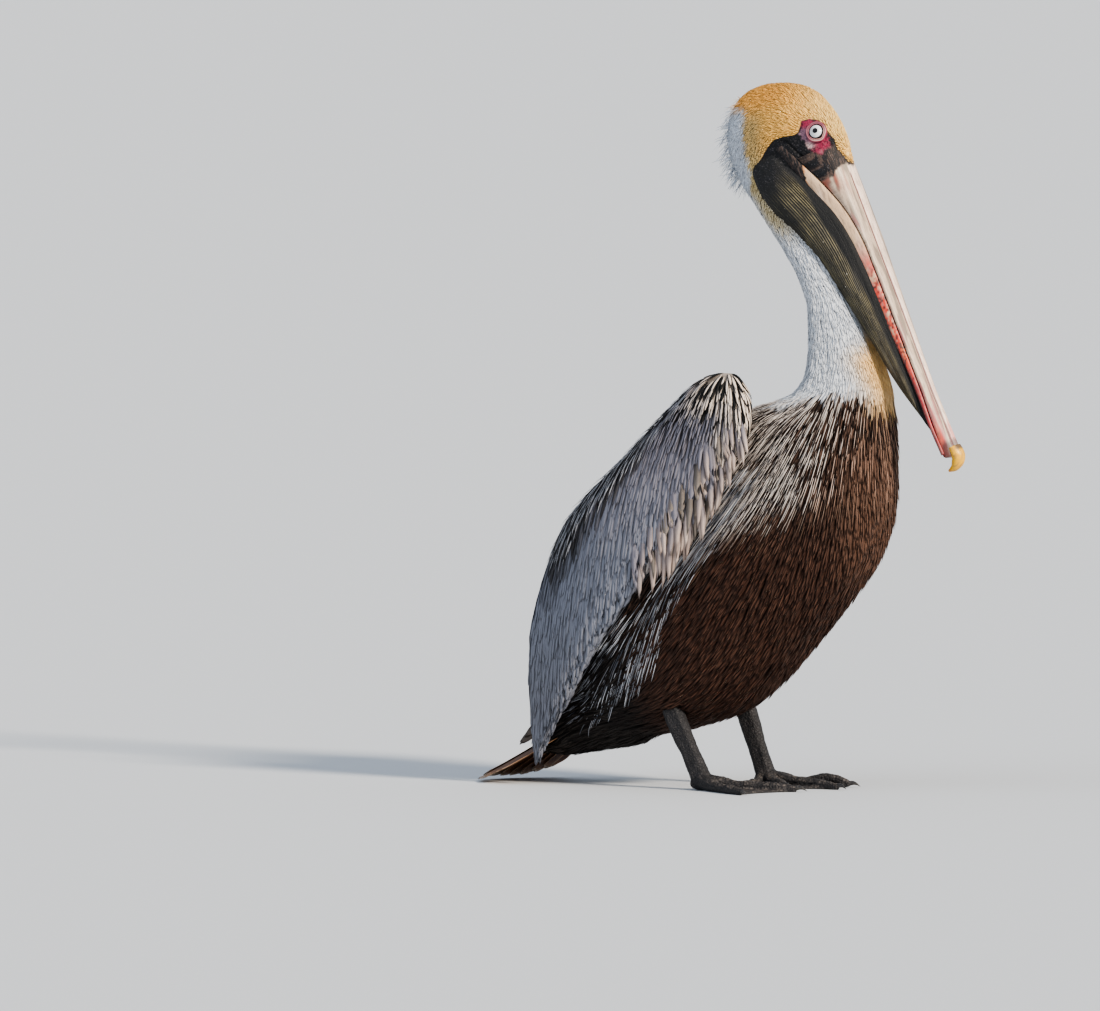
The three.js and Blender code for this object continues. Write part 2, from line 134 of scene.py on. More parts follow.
def cloud(points, size, seed=0):
    # smooth noise from -1 to 1, its lumps about size across
    q = np.asarray(points, float) / size
    cell = np.floor(q).astype(np.int64)
    f = q - cell
    f = f * f * (3 - 2 * f)
    total = 0
    for corner in range(8):
        d = np.array([corner & 1, corner >> 1 & 1, corner >> 2 & 1])
        weight = np.prod(np.where(d == 1, f, 1 - f), axis=-1)
        total = total + weight * cellValue(*(cell + d).T, seed)
    return total * 2 - 1


def awayFrom(points, line, closed=False):
    # shortest distance from 2-D points to a line of points
    line = np.asarray(line, float)
    ends = np.roll(line, -1, 0) if closed else line[1:]
    best = np.full(len(points), 1e9)
    for a, b in zip(line if closed else line[:-1], ends):
        way = b - a
        t = np.clip(((points - a) @ way) / max(way @ way, 1e-9), 0, 1)
        best = np.minimum(best, np.linalg.norm(points - a - t[:, None] * way, axis=1))
    return best


def inside(points, outline):
    hit = np.zeros(len(points), bool)
    outline = np.asarray(outline, float)
    for (x0, z0), (x1, z1) in zip(outline, np.roll(outline, -1, 0)):
        if z0 == z1:
            continue
        cross = (z0 > points[:, 1]) != (z1 > points[:, 1])
        hit ^= cross & (points[:, 0] < (x1 - x0) * (points[:, 1] - z0) / (z1 - z0) + x0)
    return hit


def depthInto(points, outline):
    # how far inside a closed outline, below 0 outside it
    away = awayFrom(points, outline, True)
    return np.where(inside(points, outline), away, -away)


# meshes from arrays, and arrays from meshes
def makeObject(name, mesh):
    obj = bpy.data.objects.new(name, mesh)
    bpy.context.scene.collection.objects.link(obj)
    return obj


def fromArrays(name, points, faces):
    mesh = bpy.data.meshes.new(name)
    mesh.vertices.add(len(points))
    mesh.vertices.foreach_set("co", (np.asarray(points) * mm).astype(np.float32).ravel())
    count, size = faces.shape
    mesh.loops.add(count * size)
    mesh.loops.foreach_set("vertex_index", faces.astype(np.int32).ravel())
    mesh.polygons.add(count)
    mesh.polygons.foreach_set("loop_start", np.arange(0, count * size, size, dtype=np.int32))
    mesh.update(calc_edges=True)
    mesh.shade_smooth()
    return makeObject(name, mesh)


def faceOut(obj):
    shape = bmesh.new()
    shape.from_mesh(obj.data)
    bmesh.ops.recalc_face_normals(shape, faces=shape.faces)
    shape.to_mesh(obj.data)
    shape.free()


def bandFaces(rows, count, closed):
    # four-sided faces between rings of count points, and from the last ring to the first if closed
    r, s = np.meshgrid(np.arange(rows if closed else rows - 1), np.arange(count), indexing="ij")
    near, far, after = r * count, (r + 1) % rows * count, (s + 1) % count
    return np.stack([near + s, near + after, far + after, far + s], -1).reshape(-1, 4)


def fromRings(name, rings):
    # a closed tube through rings of points, each end drawn to a point
    rows, count, _ = rings.shape
    points = np.concatenate([rings.reshape(-1, 3), rings[0].mean(0)[None], rings[-1].mean(0)[None]])
    ring = np.arange(count)
    after = (ring + 1) % count
    lastRing = (rows - 1) * count
    first = np.stack([np.full(count, rows * count), after, ring], -1)
    last = np.stack([np.full(count, rows * count + 1), lastRing + ring, lastRing + after], -1)
    mesh = bpy.data.meshes.new(name)
    faces = bandFaces(rows, count, False).tolist() + first.tolist() + last.tolist()
    mesh.from_pydata((points * mm).tolist(), [], faces)
    mesh.shade_smooth()
    obj = makeObject(name, mesh)
    faceOut(obj)
    return obj


def read(items, field, width=1, kind=float):
    flat = np.empty(len(items) * width, kind)
    items.foreach_get(field, flat)
    return flat.reshape(-1, width) if width > 1 else flat


def pointsOf(obj):
    return read(obj.data.vertices, "co", 3) / mm


def normalsOf(obj):
    return read(obj.data.vertex_normals, "vector", 3)


def triangles(obj, field="vertices"):
    obj.data.calc_loop_triangles()
    return read(obj.data.loop_triangles, field, 3, np.int32)


def setPoints(obj, points):
    obj.data.vertices.foreach_set("co", (points * mm).astype(np.float32).ravel())
    obj.data.update()


def setColour(obj, name, tones):
    layer = obj.data.color_attributes.new(name, "FLOAT_COLOR", "POINT")
    filled = np.concatenate([tones, np.ones((len(tones), 1))], 1)
    layer.data.foreach_set("color", filled.astype(np.float32).ravel())


def setValue(obj, name, values):
    obj.data.attributes.new(name, "FLOAT", "POINT").data.foreach_set("value", np.asarray(values, np.float32))


def setUv(obj, name, perPoint):
    corner = read(obj.data.loops, "vertex_index", kind=np.int32)
    layer = obj.data.uv_layers.new(name=name)
    layer.data.foreach_set("uv", perPoint[corner].astype(np.float32).ravel())


def treeOf(obj):
    return BVHTree.FromPolygons(pointsOf(obj).tolist(), triangles(obj).tolist())


def nodeTree(names):
    # the surfaces of some CAD nodes, and which node each triangle is from
    corners, faces, owners = [], [], []
    for number, name in enumerate(names):
        mesh = cad[name].data
        mesh.calc_loop_triangles()
        start = len(corners)
        corners += [tuple(v.co / mm) for v in mesh.vertices]
        faces += [[start + i for i in tri.vertices] for tri in mesh.loop_triangles]
        owners += [number] * len(mesh.loop_triangles)
    return BVHTree.FromPolygons(corners, faces), np.array(owners)


def nearest(tree, points):
    # closest points of a surface, with its normals there and which triangle each is on
    places, normals, which = np.empty_like(points), np.empty_like(points), np.empty(len(points), int)
    for i, p in enumerate(points.tolist()):
        places[i], normals[i], which[i], _ = tree.find_nearest(p)
    return places, normals, which


def copyOf(name, nodeNames, grow):
    # merged copies of CAD nodes as one new object, grown a little
    shape = bmesh.new()
    for nodeName in nodeNames:
        shape.from_mesh(cad[nodeName].data)
    bmesh.ops.remove_doubles(shape, verts=shape.verts, dist=0.00002)
    shape.normal_update()
    moves = [v.normal * grow * mm for v in shape.verts]
    for v, move in zip(shape.verts, moves):
        v.co += move
    mesh = bpy.data.meshes.new(name)
    shape.to_mesh(mesh)
    shape.free()
    mesh.materials.clear()
    return makeObject(name, mesh)


def applyModifier(obj, kind, **settings):
    pick(obj)
    modifier = obj.modifiers.new(kind.title(), kind)
    for key, value in settings.items():
        setattr(modifier, key, value)
    bpy.ops.object.modifier_apply(modifier=modifier.name)


# material helpers, which all work on the material that was made last
graph = {}


def newMaterial(name, sockets):
    material = bpy.data.materials.new(name)
    material.use_nodes = True
    graph["tree"] = material.node_tree
    graph["shader"] = material.node_tree.nodes["Principled BSDF"]
    for key, value in sockets.items():
        graph["shader"].inputs[key].default_value = value
    return material


def addNode(kind, inputs=None, **settings):
    made = graph["tree"].nodes.new("ShaderNode" + kind)
    for key, value in settings.items():
        setattr(made, key, value)
    for key, value in (inputs or {}).items():
        if isinstance(value, bpy.types.NodeSocket):
            graph["tree"].links.new(value, made.inputs[key])
        else:
            made.inputs[key].default_value = value
    return made


def plug(value, socket):
    graph["tree"].links.new(value, graph["shader"].inputs[socket])


def maths(operation, first, *others):
    for other in others:
        first = addNode("Math", {0: first, 1: other}, operation=operation).outputs[0]
    return first


def times(*values):
    return maths("MULTIPLY", *values)


def plus(*values):
    return maths("ADD", *values)


def minus(a, b):
    return maths("SUBTRACT", a, b)


def sizeOf(value):
    return maths("ABSOLUTE", value, 0.0)


def between(value, low, high):
    # 0 below low and 1 above high, or the other way round
    return addNode("MapRange", {"Value": value, "From Min": low, "From Max": high},
                   interpolation_type="SMOOTHSTEP").outputs["Result"]


def mixed(factor, a, b):
    a, b = (v if isinstance(v, bpy.types.NodeSocket) else (*paint(v), 1.0) for v in (a, b))
    return addNode("Mix", {0: factor, 6: a, 7: b}, data_type="RGBA").outputs[2]


def toneOf(name="Tone"):
    return addNode("Attribute", attribute_name=name).outputs["Color"]


def valueOf(name):
    return addNode("Attribute", attribute_name=name).outputs["Fac"]


def uvOf(name):
    return addNode("UVMap", uv_map=name).outputs[0]


def objectPlace():
    return addNode("TexCoord").outputs["Object"]


def noiseOn(vector, scale, detail=3.0, roughness=0.6):
    return addNode("TexNoise", {"Vector": vector, "Scale": scale, "Detail": detail,
                                "Roughness": roughness}).outputs["Fac"]


def stretched(vector, scale):
    return addNode("Mapping", {"Vector": vector, "Scale": scale}).outputs[0]


def bumped(height, strength, distance):
    plug(addNode("Bump", {"Height": height, "Strength": strength, "Distance": distance}).outputs[0], "Normal")


def settle(obj, material, replaced=()):
    obj.data.materials.clear()
    obj.data.materials.append(material)
    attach(obj, "root")
    if replaced:
        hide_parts(*replaced)


print("stage: helpers ready")

# camera, floor and light; turns go round from straight in front of the right side, tilts up from level
view = {"turn": 28, "tilt": 2.5, "aim": (-145.1, -91.4, 283.2), "distance": 14.0, "width": 1.1, "film": 36}
studio = {
    "key": {"turn": 73, "tilt": 28, "strength": 5.4, "soft": 10, "colour": (1.0, 0.90, 0.77)},
    "fill": {"turn": -30, "tilt": 40, "strength": 0.6, "soft": 60, "colour": (0.80, 0.89, 1.0)},
    "ambient": 0.6, "sky": (0.80, 0.88, 1.0),
    "floor": 170.0, "floorTone": (0.62, 0.64, 0.66),
}


def stand(name, data, values):
    # an object that looks down its own line at the bird
    a, e = math.radians(values["turn"]), math.radians(values["tilt"])
    back = Vector((math.sin(a) * math.cos(e), -math.cos(a) * math.cos(e), math.sin(e)))
    obj = makeObject(name, data)
    obj.location = Vector(values.get("aim", (0, 0, 0))) * mm + back * values.get("distance", 0)
    obj.rotation_mode = "QUATERNION"
    obj.rotation_quaternion = (-back).to_track_quat("-Z", "Y")
    return obj


def placeCamera():
    data = bpy.data.cameras.new("Camera")
    data.sensor_width = view["film"]
    data.lens = view["film"] * view["distance"] / view["width"]
    data.clip_start = 0.1
    data.clip_end = 400
    bpy.context.scene.camera = stand("Camera", data, view)


def placeStudio():
    for name in ("key", "fill"):
        lamp = bpy.data.lights.new(name, "SUN")
        lamp.energy = studio[name]["strength"]
        lamp.angle = math.radians(studio[name]["soft"])
        lamp.color = studio[name]["colour"]
        stand(name, lamp, studio[name])
    world = bpy.data.worlds.new("studio")
    world.use_nodes = True
    sky = world.node_tree.nodes["Background"]
    sky.inputs["Color"].default_value = (*studio["sky"], 1)
    sky.inputs["Strength"].default_value = studio["ambient"]
    bpy.context.scene.world = world
    bpy.context.scene.view_settings.look = "AgX - Medium High Contrast"
    deselect()
    bpy.ops.mesh.primitive_circle_add(vertices=96, radius=studio["floor"], fill_type="NGON")
    floor = bpy.context.active_object
    floor.name = "floor"
    floor.data.materials.append(newMaterial("paleFloor", {"Roughness": 0.85,
                                                          "Base Color": (*studio["floorTone"], 1)}))


placeCamera()
placeStudio()
print("stage: camera, floor and light")

# the bill's own axis: s from the forehead to the tip, y across, n out of its back
billPlan = {
    "pitch": 67.7, "root": (141.2, 622.6), "start": -60, "end": 308,
    "wide": [27, 26.5, 24.5, 22.5, 20.5, 18.5, 17, 15.8, 14.6, 13.8, 13.2, 10],
    "gape": [-49, -36, -19.5, -6.5, -0.5, 0, 0, 0, 0, 0, -1, -2.5],
    "jaw": [-60, -50, -36, -29.5, -22, -16, -12.5, -11, -8.8, -7.5, -7.4, -5],
    "pouchLow": [-84, -95, -91, -75, -59, -50, -43, -36, -30, -21, -10, -5],
    "pouchWide": [26, 29.5, 30, 29, 27, 24.5, 21.5, 18.5, 15.5, 13, 11, 6],
    "groove": [9.0, 8.6, 8.2, 7.6, 7.0, 6.2, 5.2, 4.6, 4.4, 4.4, 4.6, 5.0],
    "ridge": 7.0, "bar": 5.5,
}
billAxis = heading(-billPlan["pitch"])[[0, 2, 1]]
billUp = np.array([-billAxis[2], 0, billAxis[0]])
billRoot = np.array([billPlan["root"][0], 0, billPlan["root"][1]])


def onBill(s, y, n):
    s, y, n = np.broadcast_arrays(s, y, n)
    return billRoot + s[..., None] * billAxis + n[..., None] * billUp + y[..., None] * np.array([0, 1.0, 0])


def billKey(name, s):
    return smoothKeys(billPlan[name], (s - billPlan["start"]) / (billPlan["end"] - billPlan["start"]))


def alongBill(points):
    out = points - billRoot
    return out @ billAxis, points[:, 1], out @ billUp


# where things are on the head, seen from its side: the turn round an upright axis and the height
headAxis = 90.0
unrolled = 27.0


def onFace(points):
    turn = np.arctan2(np.abs(points[:, 1]), points[:, 0] - headAxis)
    return np.stack([turn * unrolled, points[:, 2]], 1)


def faceLine(pairs):
    return [(math.radians(turn) * unrolled, z) for turn, z in pairs]


bareSkin = faceLine([
    (-6, 627.5), (1.4, 627.2), (2.6, 631), (4.2, 627), (6.1, 631.7), (11, 637.2), (13.3, 641.6),
    (15.6, 650.5), (21.7, 657.6), (26, 665.7), (32.7, 669.6), (45.6, 670.6), (63.3, 668.5), (64, 665.5),
    (70, 657.4), (78, 654.8), (85.8, 654.0), (102.1, 652.9), (119.6, 651.2), (127.7, 648.1), (134.6, 642.9),
    (139.1, 636.8), (142.5, 631.3), (144.8, 625.2), (144.5, 615.8),
    (144, 603), (139.1, 591.7), (128, 579), (105.7, 569), (76, 559), (54, 550), (30, 540), (-6, 530)])
orbitalSkin = faceLine([
    (63.3, 668.1), (45.7, 670), (32.7, 669.1), (26.4, 665.2), (23.2, 659.4), (22.3, 648.8), (23, 643.4),
    (33.9, 639.1), (37.2, 636.4), (43.8, 638.9), (61.4, 650.3), (66.1, 657.4)])
gape = [(80, 648.6), (86.9, 647.4), (97.5, 637.7), (108.3, 628.9), (117.9, 622), (127.7, 614)]
eye = {"x": 116.2, "y": 15.2, "z": 656.5, "radius": 9.5, "look": (0.14, -0.946, 0.28), "open": 7.5,
       "pupil": 2.65, "iris": 6.7, "bulge": 0.55, "rings": 68, "around": 64}
lidHeight = math.sqrt(eye["radius"] ** 2 - eye["open"] ** 2) + 0.2


def eyeFrame(side):
    centre = np.array([eye["x"], side * eye["y"], eye["z"]])
    return centre, unit(np.array([eye["look"][0], -side * eye["look"][1], eye["look"][2]]))


def roundEye(points, side):
    # how far out along the eye's own line, and how far off it
    centre, look = eyeFrame(side)
    out = points - centre
    along = out @ look
    return along, np.linalg.norm(out - along[:, None] * look, axis=1)


def bareness(points):
    return depthInto(onFace(points), bareSkin)


# one skin under all the feathers, sunk by the depth of the coat over each node
skinPlan = {
    "depth": {"head": 1.7, "neck_upper": 2.6, "neck_lower": 3.2, "trunk": 5.0, "wing_right": 3.4,
              "wing_left": 3.4, "shin_right": 4.5, "shin_left": 4.5},
    "root": ["bill_upper", "bill_lower", "eye_right", "eye_left"], "rootEnd": 2,
    "grow": 0.5, "rootGrow": 0.3, "voxel": 3.6, "smooth": 14, "faceFrom": 585, "headFrom": 560,
    "thinBelow": 440, "farthest": 30, "mostOfThickness": 0.28, "creases": 1.6,
}
regionNames = list(skinPlan["depth"])
cadTree, cadOwners = nodeTree(regionNames)


def remeshed(obj, voxel, smooth):
    applyModifier(obj, "REMESH", mode="VOXEL", voxel_size=voxel * mm, adaptivity=0.0)
    applyModifier(obj, "SMOOTH", factor=0.5, iterations=smooth)


def makeSkin():
    skin = copyOf("skin", regionNames, skinPlan["grow"])
    root = copyOf("billRoot", skinPlan["root"], skinPlan["rootGrow"])
    shape = bmesh.new()
    shape.from_mesh(root.data)
    axis = Vector(billAxis)
    cutAt = Vector(billRoot) * mm + axis * skinPlan["rootEnd"] * mm
    everything = shape.verts[:] + shape.edges[:] + shape.faces[:]
    bmesh.ops.bisect_plane(shape, geom=everything, plane_co=cutAt, plane_no=axis, clear_outer=True)
    bmesh.ops.holes_fill(shape, edges=[e for e in shape.edges if e.is_boundary])
    shape.to_mesh(root.data)
    shape.free()
    joined("skin", [skin, root])
    remeshed(skin, skinPlan["voxel"], skinPlan["smooth"])
    return skin


def unwrap(obj):
    pick(obj)
    bpy.ops.object.mode_set(mode="EDIT")
    bpy.ops.mesh.select_all(action="SELECT")
    bpy.ops.uv.smart_project(angle_limit=math.radians(70), island_margin=0.002)
    bpy.ops.object.mode_set(mode="OBJECT")
    obj.data.uv_layers[0].name = "OFBake"


def refineFace(obj):
    # four times finer on the bare face and round the eye
    shape = bmesh.new()
    shape.from_mesh(obj.data)
    centres = np.array([f.calc_center_median() for f in shape.faces]) / mm
    near = (bareness(centres) > -7) & (centres[:, 2] > skinPlan["faceFrom"] + 5) & (centres[:, 0] > 40)
    edges = list(dict.fromkeys(e for f, yes in zip(shape.faces, near) if yes for e in f.edges))
    bmesh.ops.subdivide_edges(shape, edges=edges, cuts=3, use_grid_fill=True)
    places = np.array([v.co for v in shape.verts]) / mm
    near = (bareness(places) > -9) & (places[:, 2] > skinPlan["faceFrom"])
    fine = [v for v, yes in zip(shape.verts, near) if yes]
    for _ in range(5):
        bmesh.ops.smooth_vert(shape, verts=fine, factor=0.5, use_axis_x=True, use_axis_y=True, use_axis_z=True)
    shape.to_mesh(obj.data)
    shape.free()
    obj.data.shade_smooth()


skin = makeSkin()
unwrap(skin)
print("stage: skin", len(skin.data.polygons))
refineFace(skin)
print("stage: face refined", len(skin.data.polygons))


def sinkSkin(obj):
    points, normals = pointsOf(obj), normalsOf(obj)
    _, _, which = nearest(cadTree, points)
    region = cadOwners[which]
    depth = np.array(list(skinPlan["depth"].values()))[region]
    # thin parts of the body are sunk less
    tree = treeOf(obj)
    thick = np.full(len(points), 99.0)
    for i in np.nonzero(points[:, 2] < skinPlan["thinBelow"])[0]:
        hit = tree.ray_cast(points[i] - normals[i] * 0.5, -normals[i], skinPlan["farthest"])
        if hit[0] is not None:
            thick[i] = hit[3] + 0.5
    depth = np.minimum(depth, skinPlan["mostOfThickness"] * thick)
    onHead = points[:, 2] > skinPlan["headFrom"]
    depth = np.where(onHead, depth * (1 - 0.55 * rise(-1, 3, bareness(points))), depth)
    points = points - normals * depth[:, None]
    # bare skin round the eye, sunk to the lids
    for side, _ in sides:
        _, look = eyeFrame(side)
        along, across = roundEye(points, side)
        mine = (along > 0) & (across < 22)
        hole = mine & (across < eye["open"] + 1.5)
        rim = mine & ~hole
        level = np.where(along > lidHeight, lidHeight + (along - lidHeight) * rise(6, 17, across), along)
        inner = np.minimum(along, np.sqrt(np.maximum(eye["radius"] ** 2 - across ** 2, 0)) - 1.5)
        points[rim] += look * (level - along)[rim, None]
        points[hole] += look * (inner - along)[hole, None]
    return points, region, depth


def creaseFace(obj):
    # the gape's fold, and fine wrinkles all over the bare skin
    points, normals = pointsOf(obj), normalsOf(obj)
    show = rise(0, 2, bareness(points)) * (points[:, 2] > skinPlan["faceFrom"])
    fold = bell(awayFrom(fromSide(points), gape), 1.1) * (np.abs(points[:, 1]) > 12)
    ripple = cloud(points, 2.6, 3) * 0.35 + cloud(points, 5.5, 4) * 0.45
    setPoints(obj, points + normals * (show * (ripple - skinPlan["creases"] * fold))[:, None])


skinPoints, skinRegion, skinDepth = sinkSkin(skin)
setPoints(skin, skinPoints)
creaseFace(skin)
print("stage: skin sunk under the coat")

# what colour the bird is at each place; skin and feathers both use this
colours = {
    # the khaki is a painted shade for the back of the cap
    "crown": "F0BC69", "forehead": "FFD78C", "orangeCrown": "E2953F", "khaki": "AE9A6E", "cheek": "CFBB8A",
    # the white of the nape and neck is painted bluish grey, a painted shade, the nape darker
    "nape": "CFD7E2", "neck": "DCE1E8", "gold": "FBCB7E", "breast": "26170F", "belly": "3A2217", "rump": "130D0B",
    # warmStreak is partly the streaks' own colour and partly painted warm light
    "mantle": "2C2726", "streak": "E6DDD6", "warmStreak": "AE8A76", "slate": "7B7F8C", "lowSlate": "777880",
    # gap is a near-black used as painted shade, under the wing's front edge and between the wing's feathers
    "lilac": "827F89", "cream": "EEDDCD", "edge": "1B1715", "gap": "0C0B0B", "magenta": "98294A",
    "purple": "6E5264", "pinkish": "DDBFBE", "slateFace": "0A0C10", "faceSpeck": "22242C",
}
# where the white of the neck ends, by how far forward, and the gold and cream on it
neckLine = ([60, 88, 94, 106, 111, 116, 130, 141, 152, 161, 170, 176, 180, 185, 189],
            [404, 404, 391, 390, 395, 397, 403, 407, 410, 411, 410, 407, 401, 393, 384])
goldLine = [(170, 444), (184, 408), (189, 380)]
throatLine = [(52, 655), (50, 636), (47, 618), (51, 600), (60, 584), (75, 569), (98, 552)]
# where the wing's front and rear edges are, by height, and the top of each folded wing's hump
foreEdge = ([22, 52, 96, 146, 196, 248, 300, 348, 396, 422], [-180, -163, -131, -94, -52, -6, 38, 80, 83, 65])
rearEdge = ([22, 46, 92, 150, 212, 274, 327, 378, 413, 423], [-186, -193, -197, -195, -177, -143, -83, -24, 20, 47])
humps = {"Right": (50, 428), "Left": (66, 402)}


def aheadOfWing(p):
    return p[:, 0] - np.interp(p[:, 2], *foreEdge)


def acrossWing(p):
    fore, rear = np.interp(p[:, 2], *foreEdge), np.interp(p[:, 2], *rearEdge)
    return np.clip((p[:, 0] - rear) / np.maximum(fore - rear, 8), 0, 1)


def crispness(p):
    # where the wing's feathers have black edges, a painted shade in the gaps between them
    return np.maximum(rise(345, 385, p[:, 2]), rise(0.6, 0.85, acrossWing(p)) * rise(240, 275, p[:, 2]))


def wingGapShadow(p):
    # the painted shadow in the gap under the wing's front edge
    ahead = aheadOfWing(p)
    ends = bell(p[:, 2] - 230 + 0.5 * ahead, 30, 4)
    return ends * rise(-20, -13, ahead + 3 * cloud(p, 5, 87)) * rise(13, 8, ahead)


def fromHump(p):
    # the way from the top of the folded wing's hump, and how far off it is
    top, height = (np.where(p[:, 1] > 0, *pair) for pair in zip(humps["Left"], humps["Right"]))
    out = np.stack([p[:, 0] - top, 0 * top, p[:, 2] - height], 1)
    return out, np.linalg.norm(out, axis=1)


def onBack(p):
    # the back between the wings
    return rise(95, 60, p[:, 0] - np.interp(p[:, 2], *rearEdge)) * rise(150, 210, p[:, 2])


def onRump(p):
    return rise(-20, -75, p[:, 0] + 0.25 * (p[:, 2] - 120)) * rise(190, 150, p[:, 2])


def aboveNeckLine(p):
    return p[:, 2] - np.interp(p[:, 0], *neckLine)


def groupOf(region):
    # 1 head, 2 neck, 3 trunk and shins, 4 wings
    kinds = np.array([1 if "head" in n else 2 if "neck" in n else 4 if "wing" in n else 3 for n in regionNames])
    return kinds[region]


def plumage(points, region):
    x, y, z = points.T
    group = groupOf(region)
    patch = cloud(points, 14, 11)
    # the head's cap and cheeks, and the white behind them
    nape = np.interp(z, [560, 575, 590, 603, 625, 690], [72, 62, 51, 46, 43, 42])
    cap = painted(colours, "crown",
                  # the duller khaki at the back of the cap, by the white nape, is a painted shade
                  ("khaki", 0.85 * rise(nape + 30, nape + 8, x) * rise(694, 664, z)),
                  ("orangeCrown", 0.45 * rise(670, 694, z) * rise(115, 70, x)),
                  # the paler yellow at the front of the crown is partly its own colour and partly a painted
                  # highlight
                  ("forehead", 0.9 * rise(88, 132, x) * rise(640, 670, z + 0.5 * (x - 110))))
    back = x + 3 * patch + 3 * cloud(points, 3.2, 12)
    head = painted(colours, "cheek",
                   (cap, rise(606, 640, z + 5 * patch + 0.5 * (x - 60))),
                   # the white nape's bluish grey is a painted shade
                   ("nape", rise(nape + 3, nape - 4, back) * rise(690, 678, z)))
    throat = bell(awayFrom(fromSide(points), throatLine), 9) * rise(545, 575, z)
    golden = bell(awayFrom(fromSide(points), goldLine), np.interp(z, [384, 408, 444], [4, 8, 15]))
    # the neck's white carries a painted bluish shade
    neck = painted(colours, "neck", ("cheek", 0.9 * throat), ("gold", 0.95 * golden))
    ahead, share = aheadOfWing(points), acrossWing(points)
    flank = rise(54, 34, ahead) * rise(-24, -8, ahead) * rise(315, 275, z) * rise(90, 130, z)
    trunk = painted(colours, "breast",
                    ("belly", rise(330, 230, z)),
                    ("rump", onRump(points)),
                    ("mantle", np.maximum(rise(60, 10, x) * rise(300, 350, z), onBack(points))),
                    # painted shadow under the wing's front edge
                    ("gap", 0.95 * wingGapShadow(points) * (np.abs(y) > 40)),
                    ("rump", 0.85 * flank * (np.abs(y) > 40)))
    ragged = share + 0.05 * cloud(points, 18, 92)
    pale = np.maximum(rise(0.66, 0.90, ragged) * rise(240, 275, z), rise(384, 404, z) * rise(0.1, 0.4, ragged))
    wing = painted(colours, "slate",
                   ("lilac", rise(270, 380, z + 8 * patch)),
                   ("cream", 0.9 * pale),
                   ("lowSlate", rise(250, 120, z) * 0.6),
                   ("edge", 0.92 * rise(0.16, 0.05, ragged) * rise(225, 275, z)),
                   # a thin black line along the wing's front edge is a painted shadow
                   ("gap", 0.9 * rise(0.955, 0.985, share) * rise(388, 374, z) * rise(90, 150, z)),
                   # painted shadow under the wing's front edge
                   ("gap", 0.95 * wingGapShadow(points)))
    top = rise(590, 612, z)[:, None]
    white = ((group <= 3) & (x > 75)) * rise(-3, 3, aboveNeckLine(points)) * (z > 370)
    white = np.maximum(white, (group <= 2) & (z > 440))
    out = blend(trunk, np.where((group <= 2)[:, None], head * top + neck * (1 - top), neck), white)
    return np.where((group == 4)[:, None], wing, out)


def faceColour(points):
    orbit = depthInto(onFace(points), orbitalSkin)
    fleck = cloud(points, 2.2, 21) * 0.5 + cloud(points, 5, 22) * 0.5
    small = cloud(points, 1.5, 24)
    dark = painted(colours, "slateFace", ("faceSpeck", rise(0.15, 0.8, fleck + 0.4 * small) * 0.8))
    # the skin round the eye is brightest above and before it, purplish behind, whitish below
    x, z = points[:, 0] - eye["x"], points[:, 2] - eye["z"]
    pale = bell(x + 6, 5.0) * bell(z + 12.5, 3.4)
    orbital = painted(colours, "magenta",
                      ("purple", rise(-3, -9, x + 0.5 * small) * rise(8, 2, z)),
                      ("pinkish", np.clip(1.2 * pale + 0.25 * rise(0.3, 0.9, fleck), 0, 0.9)))
    orbital = orbital * (1 - 0.35 * rise(0.1, 0.8, -small))[:, None]
    tone = blend(dark, orbital, rise(-1.6, 1.6, orbit + fleck * 2.2 + small))
    return tone * (1 - 0.85 * bell(awayFrom(fromSide(points), gape), 0.9))[:, None]


def colourSkin(obj):
    points = pointsOf(obj)
    mask = rise(-0.8, 0.4, bareness(points)) * (points[:, 2] > skinPlan["faceFrom"])
    # between the feathers of the wings the skin lies in shade, but not on top of the humps
    shade = (0.32 + 0.45 * crispness(points)) * (1 - bell(fromHump(points)[1], 11)) * (groupOf(skinRegion) == 4)
    tone = plumage(points, skinRegion) * (1 - shade)[:, None]
    setColour(obj, "Tone", blend(tone, faceColour(points), mask))
    setValue(obj, "Bare", mask)


colourSkin(skin)


def flecked(tone, bare):
    # bare skin is finely speckled, pale on dark
    place = objectPlace()
    pale = times(between(noiseOn(place, 620.0, 5.0, 0.75), 0.56, 0.66), bare, 0.45)
    dark = times(between(noiseOn(place, 420.0, 4.0, 0.7), 0.5, 0.36), bare, 0.75)
    return mixed(dark, mixed(pale, tone, (0.22, 0.20, 0.21)), (0.005, 0.005, 0.007))


def skinMaterial():
    material = newMaterial("skinUnderCoat", {"Specular IOR Level": 0.24})
    fine = noiseOn(objectPlace(), 900.0, 4.0)
    bare = valueOf("Bare")
    tone = mixed(times(fine, 0.3), toneOf(), (0.02, 0.018, 0.02))
    plug(flecked(tone, bare), "Base Color")
    plug(minus(0.8, times(bare, 0.3)), "Roughness")
    pebbles = addNode("TexVoronoi", {"Vector": objectPlace(), "Scale": 620.0}).outputs["Distance"]
    bumped(plus(pebbles, fine), 0.55, 0.0009)
    return material


settle(skin, skinMaterial(), regionNames)
skinTree = treeOf(skin)
print("stage: skin coloured")

# the bill's horn
hornTones = {
    "culmen": "F5DDCC", "plate": "CDB8A2", "greyPlate": "85796C", "rust": "9C4634", "line": "5A1C1E",
    "ramus": "E0BF9C", "tan": "B99B82", "pink": "D2606A", "red": "D8402A", "dark": "26262C", "orange": "D98E52",
    "crimson": "B33A45", "nail": "F0B62C", "deepNail": "C98F3C", "feather": "F2CE88",
}
# seen from the side, where the bare skin of the face ends on the upper bill and on the jaw
hornEdge = [(112, 590), (127, 611), (137.7, 614.2), (139.9, 619.6), (142.3, 624.7), (144.5, 627), (149, 622.5),
            (156, 627), (158, 700), (60, 700), (60, 590)]
jawEdge = [(70, 660), (101, 640), (104.5, 626), (107, 614), (109.5, 603), (100, 590), (60, 590)]


